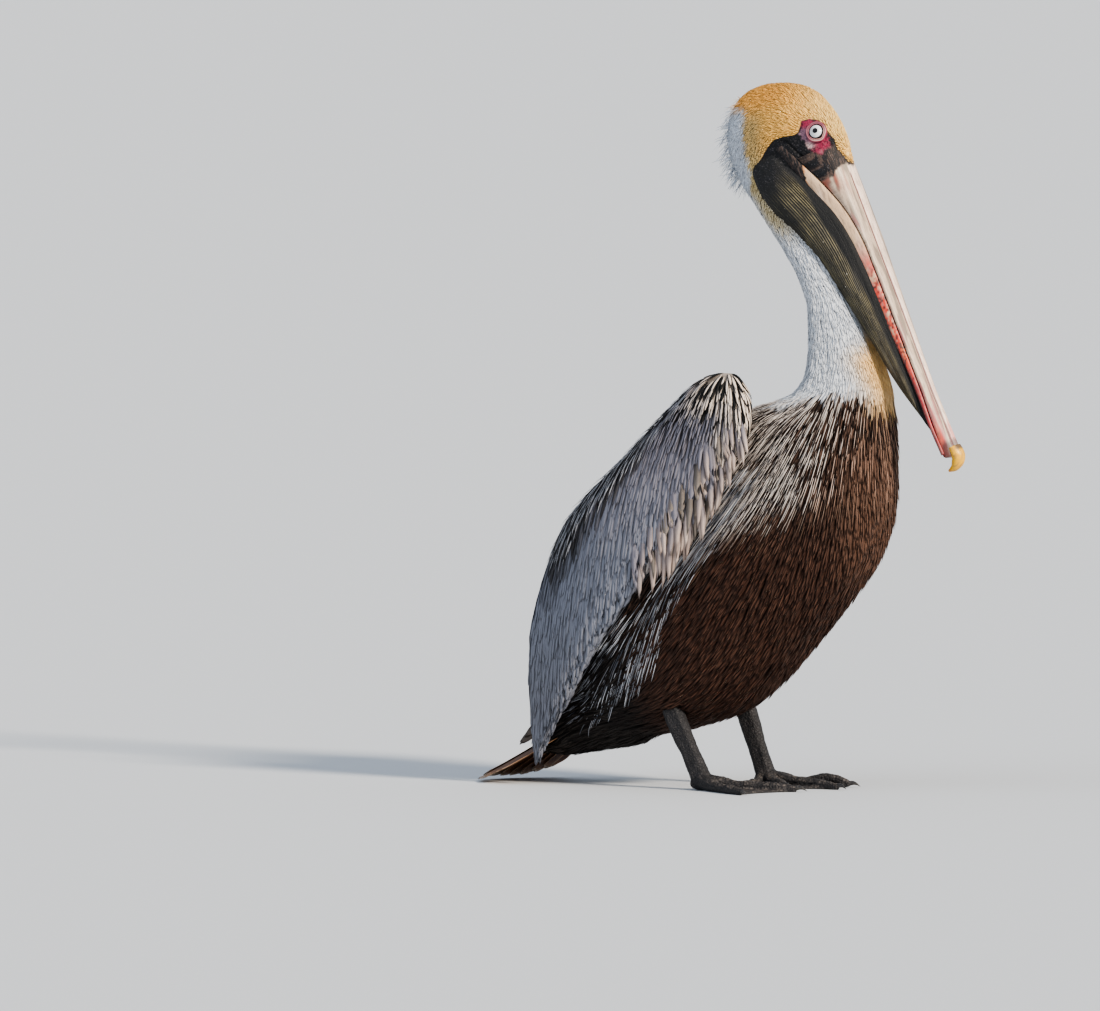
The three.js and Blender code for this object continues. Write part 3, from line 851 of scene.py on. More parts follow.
def upperProfile(s, turn):
    # the wall of the upper bill: culmen, a groove on each side of it, side plates and the cutting edge
    side, up = np.cos(turn), np.sin(turn)
    wide, low, groove = billKey("wide", s) - 0.6, billKey("gape", s), billKey("groove", s)
    y = wide * bent(side, 0.9)
    share = np.abs(y) / wide
    keel = (billPlan["ridge"] + 3 * np.clip((s - 240) / 60, 0, 1)) * (1 - 0.5 * share ** 0.9)
    edge = low + 5 * np.clip(1 - s / 50, 0, 1)
    top = edge + (keel - edge) * np.clip(up, 0, 1) ** 0.6
    line = bell(np.abs(y) - groove, 0.75) * rise(2, 20, s) * rise(306, 285, s)
    ridge = rise(groove, groove - 2.0, np.abs(y)) * 0.7 * rise(0, 30, s)
    return y, np.where(up > 0, top - 0.95 * line + ridge, low - 1 - 0.6 * np.abs(up))


def makeUpperBill():
    s = np.linspace(-24, billPlan["end"] + 1, 190)[:, None]
    turn = circle(72)[None, :]
    # more points over the top than under it
    most = np.pi * 1.35
    turn = np.where(turn < most, turn / 1.35, np.pi + (turn - most) / 0.65)
    y, n = upperProfile(s, turn)
    return fromRings("billUpper", onBill(s, y, n))


def mottle(points, size, seed, long):
    # noise drawn out along the bill
    along = points @ billAxis
    return cloud(points - along[:, None] * billAxis * (1 - 1 / long), size, seed)


def layOn(obj, across, s):
    # the length of the bill up the UV map
    setUv(obj, "Lay", np.stack([across, s / 330], 1))


def colourUpperBill(obj):
    points = pointsOf(obj)
    s, y, n = alongBill(points)
    groove = billKey("groove", s)
    offGroove, above = np.abs(y) - groove, n - billKey("gape", s)
    streak, blotch = mottle(points, 2.6, 33, 9.0), mottle(points, 6.0, 34, 4.0)
    plate = painted(hornTones, "plate", ("greyPlate", rise(-0.15, 0.35, streak) * 0.85))
    rust = bell(s - 12, 14) * rise(3.5, 8, offGroove) * rise(-0.6, 0.2, blotch + 0.4 * streak)
    mask = rise(-0.5, 1.1, depthInto(fromSide(points), hornEdge) + 1.3 * cloud(points, 2.6, 35))
    feathered = rise(0.3, -0.7, bareness(points)) * rise(2, -1, s) * (n > 0)
    setColour(obj, "Tone", painted(
        hornTones, "culmen",
        ("plate", rise(0.1, 0.9, blotch) * 0.5),
        (plate, rise(0.2, 1.4, offGroove)),
        ("rust", 0.9 * rust),
        ("pink", 0.5 * rise(4, 0.5, above) * rise(20, 60, s) * rise(-0.2, 0.5, streak)),
        ("pink", 0.60 * rise(215, 290, s + 8 * blotch) * rise(0.0, 0.6, streak + 0.5 * blotch)),
        ("red", 0.8 * rise(262, 292, s + 5 * blotch) * rise(7, 2, above)),
        ("dark", 0.8 * rise(291, 297, s + 2 * streak) * rise(-0.5, 0.2, blotch + streak + 0.5)),
        (faceColour(points), mask),
        ("feather", feathered)))
    setValue(obj, "Bare", mask * (1 - feathered))
    setValue(obj, "Groove", groove)
    setValue(obj, "Along", s / 100)
    layOn(obj, y / 30 + 0.5, s)


def hornMaterial(name, roughness, withLine=False, withFace=False, gloss=0.12):
    material = newMaterial(name, {"Specular IOR Level": 0.42, "Coat Weight": gloss, "Coat Roughness": 0.3})
    uv = uvOf("Lay")
    grain = noiseOn(stretched(uv, (34, 14, 1)), 3.0, 6.0, 0.65)
    streaks = noiseOn(stretched(uv, (9, 9, 1)), 3.0, 5.0, 0.6)
    tone = mixed(times(between(grain, 0.47, 0.66), 0.35), toneOf(), (0.17, 0.10, 0.075))
    tone = mixed(times(between(streaks, 0.50, 0.60), 0.42), tone, (0.20, 0.13, 0.10))
    rough = plus(roughness - 0.1, times(grain, 0.22))
    if withLine:
        # a dark line in each groove, and a thin one beside it
        across = addNode("SeparateXYZ", {0: uv}).outputs[0]
        off = minus(sizeOf(times(minus(across, 0.5), 30.0)), valueOf("Groove"))
        far = between(valueOf("Along"), 0.04, 0.12)
        for place, low, high, strength in ((-0.2, 1.15, 0.35, 0.92), (3.1, 0.5, 0.1, 0.35)):
            line = between(sizeOf(minus(off, place)), low, high)
            tone = mixed(times(line, far, strength), tone, hornTones["line"])
    if withFace:
        bare = valueOf("Bare")
        tone = flecked(tone, bare)
        rough = plus(rough, times(bare, 0.25))
        plug(times(minus(1.0, bare), gloss), "Coat Weight")
    plug(tone, "Base Color")
    plug(rough, "Roughness")
    bumped(plus(noiseOn(stretched(uv, (120, 10, 1)), 2.0, 3.0), grain), 0.35, 0.0004)
    return material


upperBill = makeUpperBill()
colourUpperBill(upperBill)
settle(upperBill, hornMaterial("paleHorn", 0.42, True, True), ["bill_upper"])

# the nail's course round the tip of the bill: s past the end, n, width and depth
nailKeys = np.array([(-7, 5.6, 8.3, 6.2), (-2, 6.2, 8.6, 6.7), (3, 6.4, 8.0, 6.6), (8, 3.5, 6.5, 6.2),
                     (12, -2, 4.2, 4), (13, -9, 1.2, 1.2)], float)


def ringsRound(centre, side, up, wide, deep, turn, ridge=1):
    # ovals round the points of a line
    return centre[:, None] + (wide[:, None] * np.cos(turn) * ridge)[..., None] * side \
        + (deep[:, None] * np.sin(turn))[..., None] * up


def makeNail():
    t = np.linspace(0, 1, 26)
    s, n, wide, deep = (smoothKeys(keys, t) for keys in nailKeys.T)
    centre = onBill(s + billPlan["end"], 0, n)
    side = np.array([0, 1.0, 0])
    up = np.cross(unit(np.gradient(centre, axis=0)), side)
    turn = circle(36)
    rings = ringsRound(centre, side, up[:, None], wide, deep, turn, 1 + 0.05 * np.cos(2 * turn))
    return fromRings("billNail", rings)


def colourNail(obj):
    points = pointsOf(obj)
    s, y, n = alongBill(points)
    grain = cloud(points, 2.5, 41)
    setColour(obj, "Tone", painted(
        hornTones, "nail",
        ("deepNail", rise(-0.2, 0.8, grain) * 0.5),
        ("dark", 0.85 * rise(306.5, 303.5, s + grain) * rise(7.5, 6, np.abs(y))),
        ("red", 0.35 * rise(-3, -9, n))))
    layOn(obj, y / 30 + 0.5, s)


nail = makeNail()
colourNail(nail)
settle(nail, hornMaterial("nailHorn", 0.35, gloss=0.25), ["bill_nail"])


def makeLowerBill():
    # two bars that meet in a chin at the tip
    s = np.linspace(-42, billPlan["end"] - 3, 320)[:, None]
    turn = circle(44)[None, :]
    thick = billPlan["bar"] / 2
    top, low = billKey("gape", s) - 2.4, billKey("jaw", s)
    n = (top + low) / 2 + np.maximum(2, (top - low) / 2) * bent(np.sin(turn), 0.8)
    middle = billKey("wide", s) - thick + 0.4
    rings = [onBill(s, side * middle + thick * bent(np.cos(turn), 0.75), n) for side, _ in sides]
    s = np.linspace(billPlan["end"] - 24, billPlan["end"] - 0.5, 18)[:, None]
    turn = circle(32)[None, :]
    rings.append(onBill(s, (billKey("wide", s) - 1) * np.cos(turn), 2 * np.sin(turn) - 4.6))
    return joined("billLower", [fromRings("billLower", r) for r in rings])


def colourLowerBill(obj):
    points = pointsOf(obj)
    s, _, n = alongBill(points)
    streak, blotch = mottle(points, 2.4, 51, 6.0), mottle(points, 7.0, 52, 2.5)
    spots = cloud(points, 2.2, 53)
    red = rise(88, 122, s + 10 * blotch)
    facial = depthInto(fromSide(points), jawEdge) + 1.6 * cloud(points, 3.0, 54)
    mask = rise(-0.4, 0.9, facial)
    setColour(obj, "Tone", painted(
        hornTones, "ramus",
        ("culmen", rise(0, 0.9, blotch) * 0.6),
        ("tan", rise(0.0, 0.6, streak) * 0.55),
        ("pink", 0.7 * rise(72, 112, s + 9 * blotch) * rise(-0.8, 0.1, blotch + 0.5 * streak)),
        ("red", 0.95 * red * rise(-0.7, -0.1, spots + blotch * 0.5)),
        ("orange", 0.5 * red * rise(0.2, 0.7, blotch) * rise(230, 180, s)),
        ("dark", 0.85 * red * rise(0.12, 0.34, spots + 0.2 * streak)),
        ("crimson", 0.65 * rise(195, 250, s)),
        ("dark", 0.7 * rise(3.4, 0.4, n - billKey("jaw", s) + 2.0 * streak + 1.2 * spots)),
        ("orange", 0.8 * bell(facial + 1.0, 1.6) * rise(0.0, 0.5, cloud(points, 3.2, 55))),
        (faceColour(points), mask)))
    setValue(obj, "Bare", mask)
    layOn(obj, n / 60, s)


lowerBill = makeLowerBill()
colourLowerBill(lowerBill)
settle(lowerBill, hornMaterial("jawHorn", 0.45, withFace=True), ["bill_lower"])
print("stage: bill")

# the pouch, its rear end hidden in the head, and the fold round its rear lobe, painted as a dark line of shade
pouchPlan = {"start": -58, "short": 12, "rows": 230, "around": 150, "below": 3.6}
pouchTones = {"dark": "0F1114", "olive": "4A4536", "crestHighlight": "8C8160", "grey": "4E4B44", "pale": "C9C4B8",
              "lobe": "201F18"}
lobeFold = [(76.5, 600), (85.2, 585.2), (94.1, 574.4), (101.9, 562.5), (108.5, 552)]


def makePouch():
    s = np.linspace(pouchPlan["start"], billPlan["end"] - pouchPlan["short"], pouchPlan["rows"])[:, None]
    turn = circle(pouchPlan["around"])[None, :]
    ease = 0.5 + 0.5 * rise(-58, -30, s)
    high = billKey("gape", s) - pouchPlan["below"]
    low = high + (billKey("pouchLow", s) - high) * ease
    side, up = np.cos(turn), np.sin(turn)
    fullness = np.where(up > 0, 1 - 0.14 * up, 1)
    y = billKey("pouchWide", s) * ease * fullness * bent(side, 0.55)
    n = (high + low) / 2 + ((high - low) / 2) * bent(up, 0.8)
    # wrinkles run the bill's length; they lie closer together below than beside the jaw
    across = np.arctan2(n - high, np.abs(y) + 4) * 26
    sample = np.stack(np.broadcast_arrays(across + 40 * np.sign(y), s * 0.045, 0), -1).reshape(-1, 3)
    sag = (0.28 * cloud(sample, 1.15, 61) + 0.55 * cloud(sample, 3.4, 62)).reshape(y.shape)
    sag = sag * rise(-58, -35, s) * rise(296, 270, s)
    y = y + bent(side, 0.3) * sag
    n = n + np.where(up < 0, -0.5 * sag, 0)
    pouch = fromRings("pouch", onBill(s, y, n))
    lay = np.stack(np.broadcast_arrays(across / 60 + np.sign(y), s / 330), -1).reshape(-1, 2)
    setUv(pouch, "Lay", np.concatenate([lay, [[0, 0], [0, 1]]]))
    return pouch


def colourPouch(obj):
    points = pointsOf(obj)
    s, _, n = alongBill(points)
    side, under = fromSide(points), billKey("jaw", s) - n
    rear = depthInto(side, [(76.5, 640)] + lobeFold + [(105, 540), (20, 540), (20, 660)])
    root = rise(10, -22, s + 0.35 * (n + 60))
    setColour(obj, "Tone", painted(
        pouchTones, "olive",
        ("grey", rise(-0.2, 0.7, mottle(points, 7, 63, 4)) * 0.7),
        ("dark", 0.95 * rise(6.5, 3.5, under)),
        ("lobe", rise(-1, 3, rear)),
        # a dark line of painted shade in the fold round the rear lobe
        ("dark", 0.8 * bell(awayFrom(side, lobeFold), 2.2)),
        (faceColour(points) * 0.8, root * 0.9)))
    setValue(obj, "Bare", root)
    setValue(obj, "Striped", rise(3.5, 6.5, under) * (1 - 0.8 * rise(-1, 2, rear)) * (1 - root))


def pouchMaterial():
    # many fine wrinkles along the skin; their crests are painted paler, yellowish and broken, a painted highlight,
    # and their troughs dark, a painted shade
    material = newMaterial("throatSkin", {"Specular IOR Level": 0.4})
    uv, striped = uvOf("Lay"), valueOf("Striped")
    ridges = addNode("TexWave", {"Vector": stretched(uv, (60.0, 8.0, 1)), "Scale": 0.314, "Distortion": 4.6,
                                 "Detail": 3.0, "Detail Scale": 0.7, "Detail Roughness": 0.6}).outputs["Fac"]
    finer = noiseOn(stretched(uv, (110, 6, 1)), 1.0, 3.0, 0.6)
    broken = noiseOn(stretched(uv, (26, 16, 1)), 1.0, 4.0, 0.65)
    white = noiseOn(stretched(uv, (30, 60, 1)), 1.0, 2.0)
    pebbles = noiseOn(objectPlace(), 700.0, 4.0)
    crest = times(between(ridges, 0.5, 0.95), between(broken, 0.42, 0.60), striped, 0.85)
    # painted highlight on the wrinkles' crests, then painted shade in their troughs
    tone = mixed(crest, toneOf(), pouchTones["crestHighlight"])
    tone = mixed(times(between(ridges, 0.42, 0.08), striped, 0.85), tone, pouchTones["dark"])
    tone = mixed(times(between(white, 0.70, 0.76), striped, 0.7), tone, pouchTones["pale"])
    tone = mixed(times(between(finer, 0.5, 0.36), 0.5), tone, (0.004, 0.004, 0.005))
    plug(flecked(tone, valueOf("Bare")), "Base Color")
    plug(plus(0.45, times(pebbles, 0.3)), "Roughness")
    bumped(plus(times(ridges, striped, 1.6), finer, pebbles), 0.65, 0.0012)
    return material


pouch = makePouch()
colourPouch(pouch)
settle(pouch, pouchMaterial(), ["pouch"])
print("stage: pouch")

# the lids: a soft ring with two ridges, drawn out to a corner in front and below
lidProfile = [(0.0, -1.6), (0.15, -0.35), (0.45, 0.28), (0.95, 0.45), (1.35, 0.28), (1.65, -0.02), (1.95, 0.22),
              (2.5, 0.5), (3.1, 0.42), (3.7, 0.05), (4.2, -0.5), (4.4, -1.5), (3.0, -2.6), (1.2, -2.8)]
lidTones = {"ring": "843650", "pale": "E6BDB0", "inner": "140A0C", "furrow": "3A2428", "corner": "B02A22"}


def eyePoints(side, across, turn, height):
    # a place round the eye's own line: how far off it, which way round, and how far out of the ball's centre
    centre, look = eyeFrame(side)
    level = unit(np.cross([0, 0, 1.0], look))
    up = np.cross(look, level)
    forward = level * (1 if level[0] > 0 else -1)
    across, turn, height = (v[..., None] for v in np.broadcast_arrays(across, turn, height))
    return centre + height * look + across * np.cos(turn) * forward + across * np.sin(turn) * up


def makeEye(side, name):
    polar = np.linspace(0.02, np.pi - 0.02, eye["rings"])[:, None]
    radius = eye["radius"] - 0.1 + eye["bulge"] * bell(polar, 0.5, 4)
    ball = fromRings(name, eyePoints(side, radius * np.sin(polar), circle(eye["around"]), radius * np.cos(polar)))
    along, off = roundEye(pointsOf(ball), side)
    out = pointsOf(ball) - eyeFrame(side)[0]
    setValue(ball, "Off", np.where(along > 0, off, 12))
    setUv(ball, "Lay", np.stack([np.arctan2(out[:, 2], out[:, 0]), off / 10], 1))
    return ball


def eyeMaterial():
    # a pale iris with a grey ring round its pupil
    material = newMaterial("wetEye", {"Roughness": 0.2, "Specular IOR Level": 0.2, "Coat Weight": 0.28,
                                      "Coat Roughness": 0.02})
    off, pupil, iris = valueOf("Off"), eye["pupil"], eye["iris"]
    veins = between(noiseOn(objectPlace(), 900.0, 4.0, 0.7), 0.35, 0.7)
    tone = mixed(veins, (0.84, 0.86, 0.87), (0.60, 0.64, 0.67))
    ring = between(sizeOf(minus(off, pupil + 0.7)), 0.7, 0.1)
    tone = mixed(times(ring, 0.3), tone, (0.32, 0.33, 0.36))
    tone = mixed(between(off, iris - 0.6, iris - 0.2), tone, (0.012, 0.01, 0.012))
    tone = mixed(between(off, pupil + 0.2, pupil - 0.1), tone, (0.002, 0.002, 0.003))
    plug(tone, "Base Color")
    return material


def roundFrom(turn, degrees):
    # how far round from a direction, from -pi to pi
    return np.mod(turn + np.pi - math.radians(degrees), 2 * np.pi) - np.pi


def makeLids(side, name):
    turn = circle(96)[:, None]
    out, lift = np.array(lidProfile).T[:, None]
    corner, back = bell(roundFrom(turn, -48), 0.34), bell(roundFrom(turn, 165), 0.5)
    across = eye["open"] - 0.15 + 1.0 * corner + 0.1 * back + out * (0.84 + 0.12 * back)
    base = np.sqrt(np.maximum(eye["radius"] ** 2 - np.minimum(across, 8.2) ** 2, 0.1))
    height = np.maximum(base, lidHeight - 0.15) + 0.25 + lift
    height = np.where(lift < -1, lidHeight + lift, height)
    lids = fromArrays(name, eyePoints(side, across, turn, height).reshape(-1, 3), bandFaces(*across.shape, True))
    faceOut(lids)
    share, turn, corner = (np.broadcast_to(v, across.shape).ravel() for v in (out, turn, corner))
    ring = bell(share - 0.8, 0.42) + 0.95 * bell(share - 2.6, 0.7)
    # palest below and in front, purplish above and behind
    low = 0.22 + 0.78 * rise(-0.2, 0.85, np.cos(turn + 0.75))
    setColour(lids, "Tone", painted(
        lidTones, "ring",
        ("pale", np.clip(ring, 0, 1) * low),
        ("inner", 0.95 * rise(0.4, 0.1, share)),
        # painted shade in the furrow between the lid's two ridges
        ("furrow", 0.6 * bell(share - 1.65, 0.16)),
        (faceColour(pointsOf(lids)), rise(3.0, 4.2, share)),
        ("corner", corner * rise(0.9, 0.2, share))))
    setUv(lids, "Lay", np.stack([share / 4, turn], 1))
    return lids


def lidMaterial():
    material = newMaterial("lidSkin", {"Roughness": 0.42, "Specular IOR Level": 0.5})
    fine = noiseOn(objectPlace(), 1200.0, 3.0)
    plug(mixed(times(between(fine, 0.4, 0.7), 0.3), toneOf(), (0.18, 0.03, 0.05)), "Base Color")
    bumped(fine, 0.4, 0.0005)
    return material


wetEye, lidSkin = eyeMaterial(), lidMaterial()
for side, word in sides:
    settle(makeEye(side, "eye" + word), wetEye, ["eye_" + word.lower()])
    settle(makeLids(side, "lids" + word), lidSkin)
print("stage: eyes")

# scaly shanks and webbed feet: where each foot's toes meet, and each toe's turn and length, hind toe last
feetPlan = {
    "nodes": ["tarsus_right", "foot_right", "tarsus_left", "foot_left"],
    "grow": 0.25, "voxel": 1.25, "smooth": 5, "dark": "14151A", "grey": "3E3B3D", "dust": "8A8078",
    "toes": {"right": ((2.2, -48), (36, 66), (10, 100), (-36, 90), (80, 40)),
             "left": ((25.2, 48), (-44, 66), (-16, 100), (8, 90), (-88, 40))},
}
clawPlan = {"length": 12.5, "root": 1.5, "thick": 2.3}


def makeFeet():
    feet = copyOf("feet", feetPlan["nodes"], feetPlan["grow"])
    remeshed(feet, feetPlan["voxel"], feetPlan["smooth"])
    points, normals = pointsOf(feet), normalsOf(feet)
    # creases across the toes at each joint, wrinkles in the web, and a rough edge
    move = 0.22 * cloud(points, 2.4, 71) + 0.3 * cloud(points, 6.5, 72)
    for middle, *toes in feetPlan["toes"].values():
        for turn, length in toes:
            way = heading(turn)[:2]
            out = points[:, :2] - middle
            reach, off = out @ way, np.abs(out @ np.array([-way[1], way[0]]))
            onToe = rise(6.5, 4.5, off) * rise(4, 10, reach) * rise(length + 4, length - 1, reach)
            pad = np.cos(reach / length * 8 * np.pi) * 0.42
            plates = -0.35 * np.abs(np.sin(reach / 3.1 * np.pi + 0.5 * cloud(points, 5, 73))) ** 8
            ribs = np.sin(reach * 0.55 + 1.2 * cloud(points, 9, 74)) * 0.14
            move = move + onToe * (pad + plates * rise(2.5, 5, points[:, 2]))
            move = move + ribs * rise(5, 9, off) * rise(14, 7, off)
    onTop = rise(-0.2, 0.5, normals[:, 2]) + rise(4, 8, points[:, 2])
    points = points + normals * (move * np.clip(onTop, 0.15, 1))[:, None]
    points[:, 2] = np.maximum(points[:, 2], 0)
    setPoints(feet, points)
    # the toes' upward faces near the floor are paler grey
    dust = rise(0.1, 0.9, normals[:, 2]) * rise(18, 4, points[:, 2]) * rise(-0.5, 0.5, cloud(points, 3.2, 76))
    setColour(feet, "Tone", painted(feetPlan, "dark",
                                    ("grey", rise(-0.3, 0.7, cloud(points, 5, 75)) * 0.5), ("dust", 0.6 * dust)))
    return feet


def feetMaterial():
    material = newMaterial("scalySkin", {"Specular IOR Level": 0.36})
    scales = addNode("TexVoronoi", {"Vector": objectPlace(), "Scale": 330.0}, feature="DISTANCE_TO_EDGE")
    edge = between(scales.outputs["Distance"], 0.0, 0.22)
    fine = noiseOn(objectPlace(), 1500.0, 3.0)
    tone = mixed(edge, (0.012, 0.012, 0.014), toneOf())
    plug(mixed(times(between(fine, 0.45, 0.7), 0.35), tone, (0.14, 0.125, 0.115)), "Base Color")
    plug(plus(0.5, times(fine, 0.25)), "Roughness")
    bumped(plus(edge, times(fine, 0.4)), 0.75, 0.0007)
    return material


feet = makeFeet()
settle(feet, feetMaterial(), feetPlan["nodes"])


def makeClaws():
    made, replaced = [], []
    t = np.linspace(0, 1, 14)
    up = np.array([0, 0, 1.0])
    for word, (middle, *toes) in feetPlan["toes"].items():
        for name, (turn, length) in zip(("inner", "middle", "outer", "hind"), toes):
            way = heading(turn)
            reach = length - clawPlan["root"] + t * clawPlan["length"]
            thick = clawPlan["thick"] * (1 - t ** 1.7) + 0.25
            height = np.maximum(3.5 + 1.7 * np.sin(t * 2.6) - 3.3 * t ** 2.2, thick * 0.95)
            centre = np.array([*middle, 0]) + reach[:, None] * way + height[:, None] * up
            rings = ringsRound(centre, np.array([-way[1], way[0], 0]), up, thick * 0.8, thick, circle(16))
            made.append(fromRings("claws", rings))
            replaced.append(f"claw_{word}_{name}")
    return joined("claws", made), replaced


def clawMaterial():
    material = newMaterial("clawHorn", {"Specular IOR Level": 0.5})
    grain = noiseOn(objectPlace(), 600.0, 5.0)
    plug(mixed(between(grain, 0.35, 0.75), (0.014, 0.014, 0.016), (0.085, 0.075, 0.066)), "Base Color")
    plug(plus(0.25, times(grain, 0.3)), "Roughness")
    bumped(grain, 0.3, 0.0004)
    return material


claws, clawNodes = makeClaws()
settle(claws, clawMaterial(), clawNodes)
print("stage: feet and claws")

# the lie of the feathers at each place: how the neck leans, and how far back the body's feathers are swept
lie = {
    "neck": ([391, 407, 430, 464, 500, 534, 566, 596, 616, 640], [133, 141, 140, 134, 123, 104, 84, 69, 71, 78]),
    "lean": ([40, 80, 120, 200, 250], [80, 72, 45, 30, 0]),
    "sweep": ([-100, 0, 60, 100, 130, 150, 170, 185], [42, 38, 34, 29, 20, 12, 5, 0]),
    "face": [150, 0, 632],
}


def flowAt(points, region):
    x, y, z = points.T
    group = groupOf(region)[:, None]
    zero = np.zeros(len(points))
    fall = rise(105, 20, x) * 1.5 + rise(668, 625, z) * 1.1
    head = unit(unit((points - lie["face"]) * [1, 0.7, 1]) + fall[:, None] * [0.0, 0, -1.0])
    slope = np.interp(z - 4, *lie["neck"]) - np.interp(z + 4, *lie["neck"])
    neck = unit(np.stack([slope / 8, zero, zero - 1], 1))
    sweep = np.interp(x, *lie["sweep"]) + 32 * rise(350, 398, z) * rise(150, 95, x)
    lean = np.radians(np.maximum(sweep, np.interp(z, *lie["lean"])))
    spread = np.sign(y) * 0.35 * rise(320, 390, z) * np.clip(np.abs(y) / 60, 0, 1)
    trunk = unit(np.stack([-np.sin(lean) - 0.6 * rise(60, 0, x) * rise(300, 360, z), spread, -np.cos(lean)], 1))
    trunk = unit(blend(trunk, [-0.85, 0, -0.52], rise(-100, -150, x) * rise(140, 100, z)))
    out, away = fromHump(points)
    wing = unit(np.array([-0.13, 0, -1.0]) + unit(out) * bell(away, 75)[:, None])
    edge = (np.interp(z - 6, *foreEdge) - np.interp(z + 6, *foreEdge)) / 12
    alongEdge = rise(0.90, 0.99, acrossWing(points)) * rise(395, 370, z)
    wing = blend(wing, unit(np.stack([edge, zero, zero - 1], 1)), alongEdge)
    topOfNeck = rise(596, 630, z)[:, None]
    foot = rise(-22, 14, aboveNeckLine(points))[:, None]
    neck = unit(head * topOfNeck + neck * (1 - topOfNeck)) * foot + trunk * (1 - foot)
    return np.where(group <= 2, unit(neck), np.where(group == 4, wing, trunk))


# triangles to sow feathers on: the skin, and the root of the upper bill
triCorners = triangles(skin)
skinTris = len(triCorners)
triUv = read(skin.data.uv_layers["OFBake"].data, "uv", 2)[triangles(skin, "loops")]
billPlaces = pointsOf(upperBill)
alongRoot, _, overRoot = alongBill(billPlaces)
atRoot = (alongRoot > -23.5) & (alongRoot < -0.5) & (overRoot > 0)
billCorners = triangles(upperBill)
billCorners = billCorners[atRoot[billCorners].all(1)]
_, _, under = nearest(skinTree, billPlaces[billCorners].mean(1))
triUv = np.concatenate([triUv, np.repeat(triUv[under].mean(1)[:, None], 3, 1)])
triCorners = np.concatenate([triCorners, billCorners + len(skinPoints)])
groundPlaces = np.concatenate([pointsOf(skin), billPlaces])
groundNormals = np.concatenate([normalsOf(skin), normalsOf(upperBill)])
groundDepth = np.concatenate([skinDepth, np.full(len(billPlaces), 1.4)])
groundRegion = np.concatenate([skinRegion, np.zeros(len(billPlaces), int)])
triA, triB, triC = (groundPlaces[triCorners[:, k]] for k in range(3))
triNormal = np.cross(triB - triA, triC - triA)
triArea = np.linalg.norm(triNormal, axis=1) / 2
triNormal = unit(triNormal)
triMiddle = (triA + triB + triC) / 3
triRegion = groundRegion[triCorners[:, 0]]
groundTree = BVHTree.FromPolygons(groundPlaces.tolist(), triCorners.tolist())
hardTree, _ = nodeTree(["pouch", "bill_upper", "bill_lower", "eye_right", "eye_left"])

# how wide a feather is at places along it
shapes = {
    "lance": ([0, 0.16, 0.5, 0.82, 1], [0.10, 0.75, 1.0, 0.62, 0]),
    "plume": ([0, 0.2, 0.55, 0.85, 1], [0.15, 0.8, 0.9, 0.55, 0]),
    "spear": ([0, 0.1, 0.3, 0.6, 0.84, 1], [0.15, 0.7, 1.0, 0.95, 0.52, 0]),
    "long": ([0, 0.1, 0.3, 0.55, 0.78, 0.93, 1], [0.10, 0.6, 0.9, 1.0, 0.85, 0.5, 0]),
}
# what a coat has unless it says otherwise: stray and roll in degrees, proud in millimetres over the skin's depth
# times lift, loose for plumes that stand off, cling and follow for how closely a feather keeps to the ground and
# the flow, agree and overhang for where it passes an edge, least for the part of it that has to lie on the ground
coatPlan = {
    "stray": 6, "roll": 10, "lift": 0.9, "proud": 0.0, "loose": 0, "cling": 0.9, "follow": 0.4, "agree": 0.25,
    "overhang": 0.25, "least": 0, "cup": 0.3, "vary": 0.08, "turn": lambda p, flow: flow, "low": 0.12,
    "rise": 0.8, "step": 1.12, "extra": 2.6, "patch": 0.003,
}


def at(value, places):
    return value(places) if callable(value) else np.full(len(places), float(value))


def sow(plan, seed):
    rng = np.random.default_rng(seed)
    chosen = np.nonzero(plan["where"](triMiddle, groupOf(triRegion), triNormal))[0]
    weight = triArea[chosen] / at(plan["gap"], triMiddle[chosen]) ** 2
    count = int(weight.sum() * plan["extra"])
    which = chosen[rng.choice(len(chosen), count, p=weight / weight.sum())]
    a, b = rng.random(count), rng.random(count)
    flip = a + b > 1
    a, b = np.where(flip, 1 - a, a), np.where(flip, 1 - b, b)
    share = np.stack([1 - a - b, a, b], 1)[..., None]
    places = (groundPlaces[triCorners[which]] * share).sum(1)
    # one root in each small cell, so that they lie evenly
    level = np.round(np.log(at(plan["gap"], places)) / np.log(plan["step"])).astype(int)
    cell = np.floor(places / (plan["step"] ** level)[:, None]).astype(int)
    _, keep = np.unique(np.column_stack([cell, level]), axis=0, return_index=True)
    which, share, places = which[keep], share[keep], places[keep]
    normals = unit((groundNormals[triCorners[which]] * share).sum(1))
    # none where something lies close over the ground
    free = np.ones(len(places), bool)
    for i, (p, n) in enumerate(zip(places.tolist(), normals.tolist())):
        p, n = Vector(p), Vector(n)
        free[i] = groundTree.ray_cast(p + n * 4, n, 11)[0] is None and (
            which[i] >= skinTris or hardTree.ray_cast(p, n, 6)[0] is None)
    uv = (triUv[which] * share).sum(1)
    depth = (groundDepth[triCorners[which]] * share[..., 0]).sum(1)
    return places[free], normals[free], triRegion[which][free], uv[free], depth[free], rng


def featherFaces(per):
    # three-sided in section: a root point, rings of three, and a tip point
    faces = [[0, 1, 2], [0, 2, 3], [0, 3, 1]]
    for a in range(1, per - 4, 3):
        for p, q in ((0, 1), (1, 2), (2, 0)):
            faces += [[a + p, a + 3 + p, a + 3 + q], [a + p, a + 3 + q, a + q]]
    a = per - 4
    return np.array(faces + [[a, per - 1, a + 1], [a + 1, per - 1, a + 2], [a + 2, per - 1, a]])


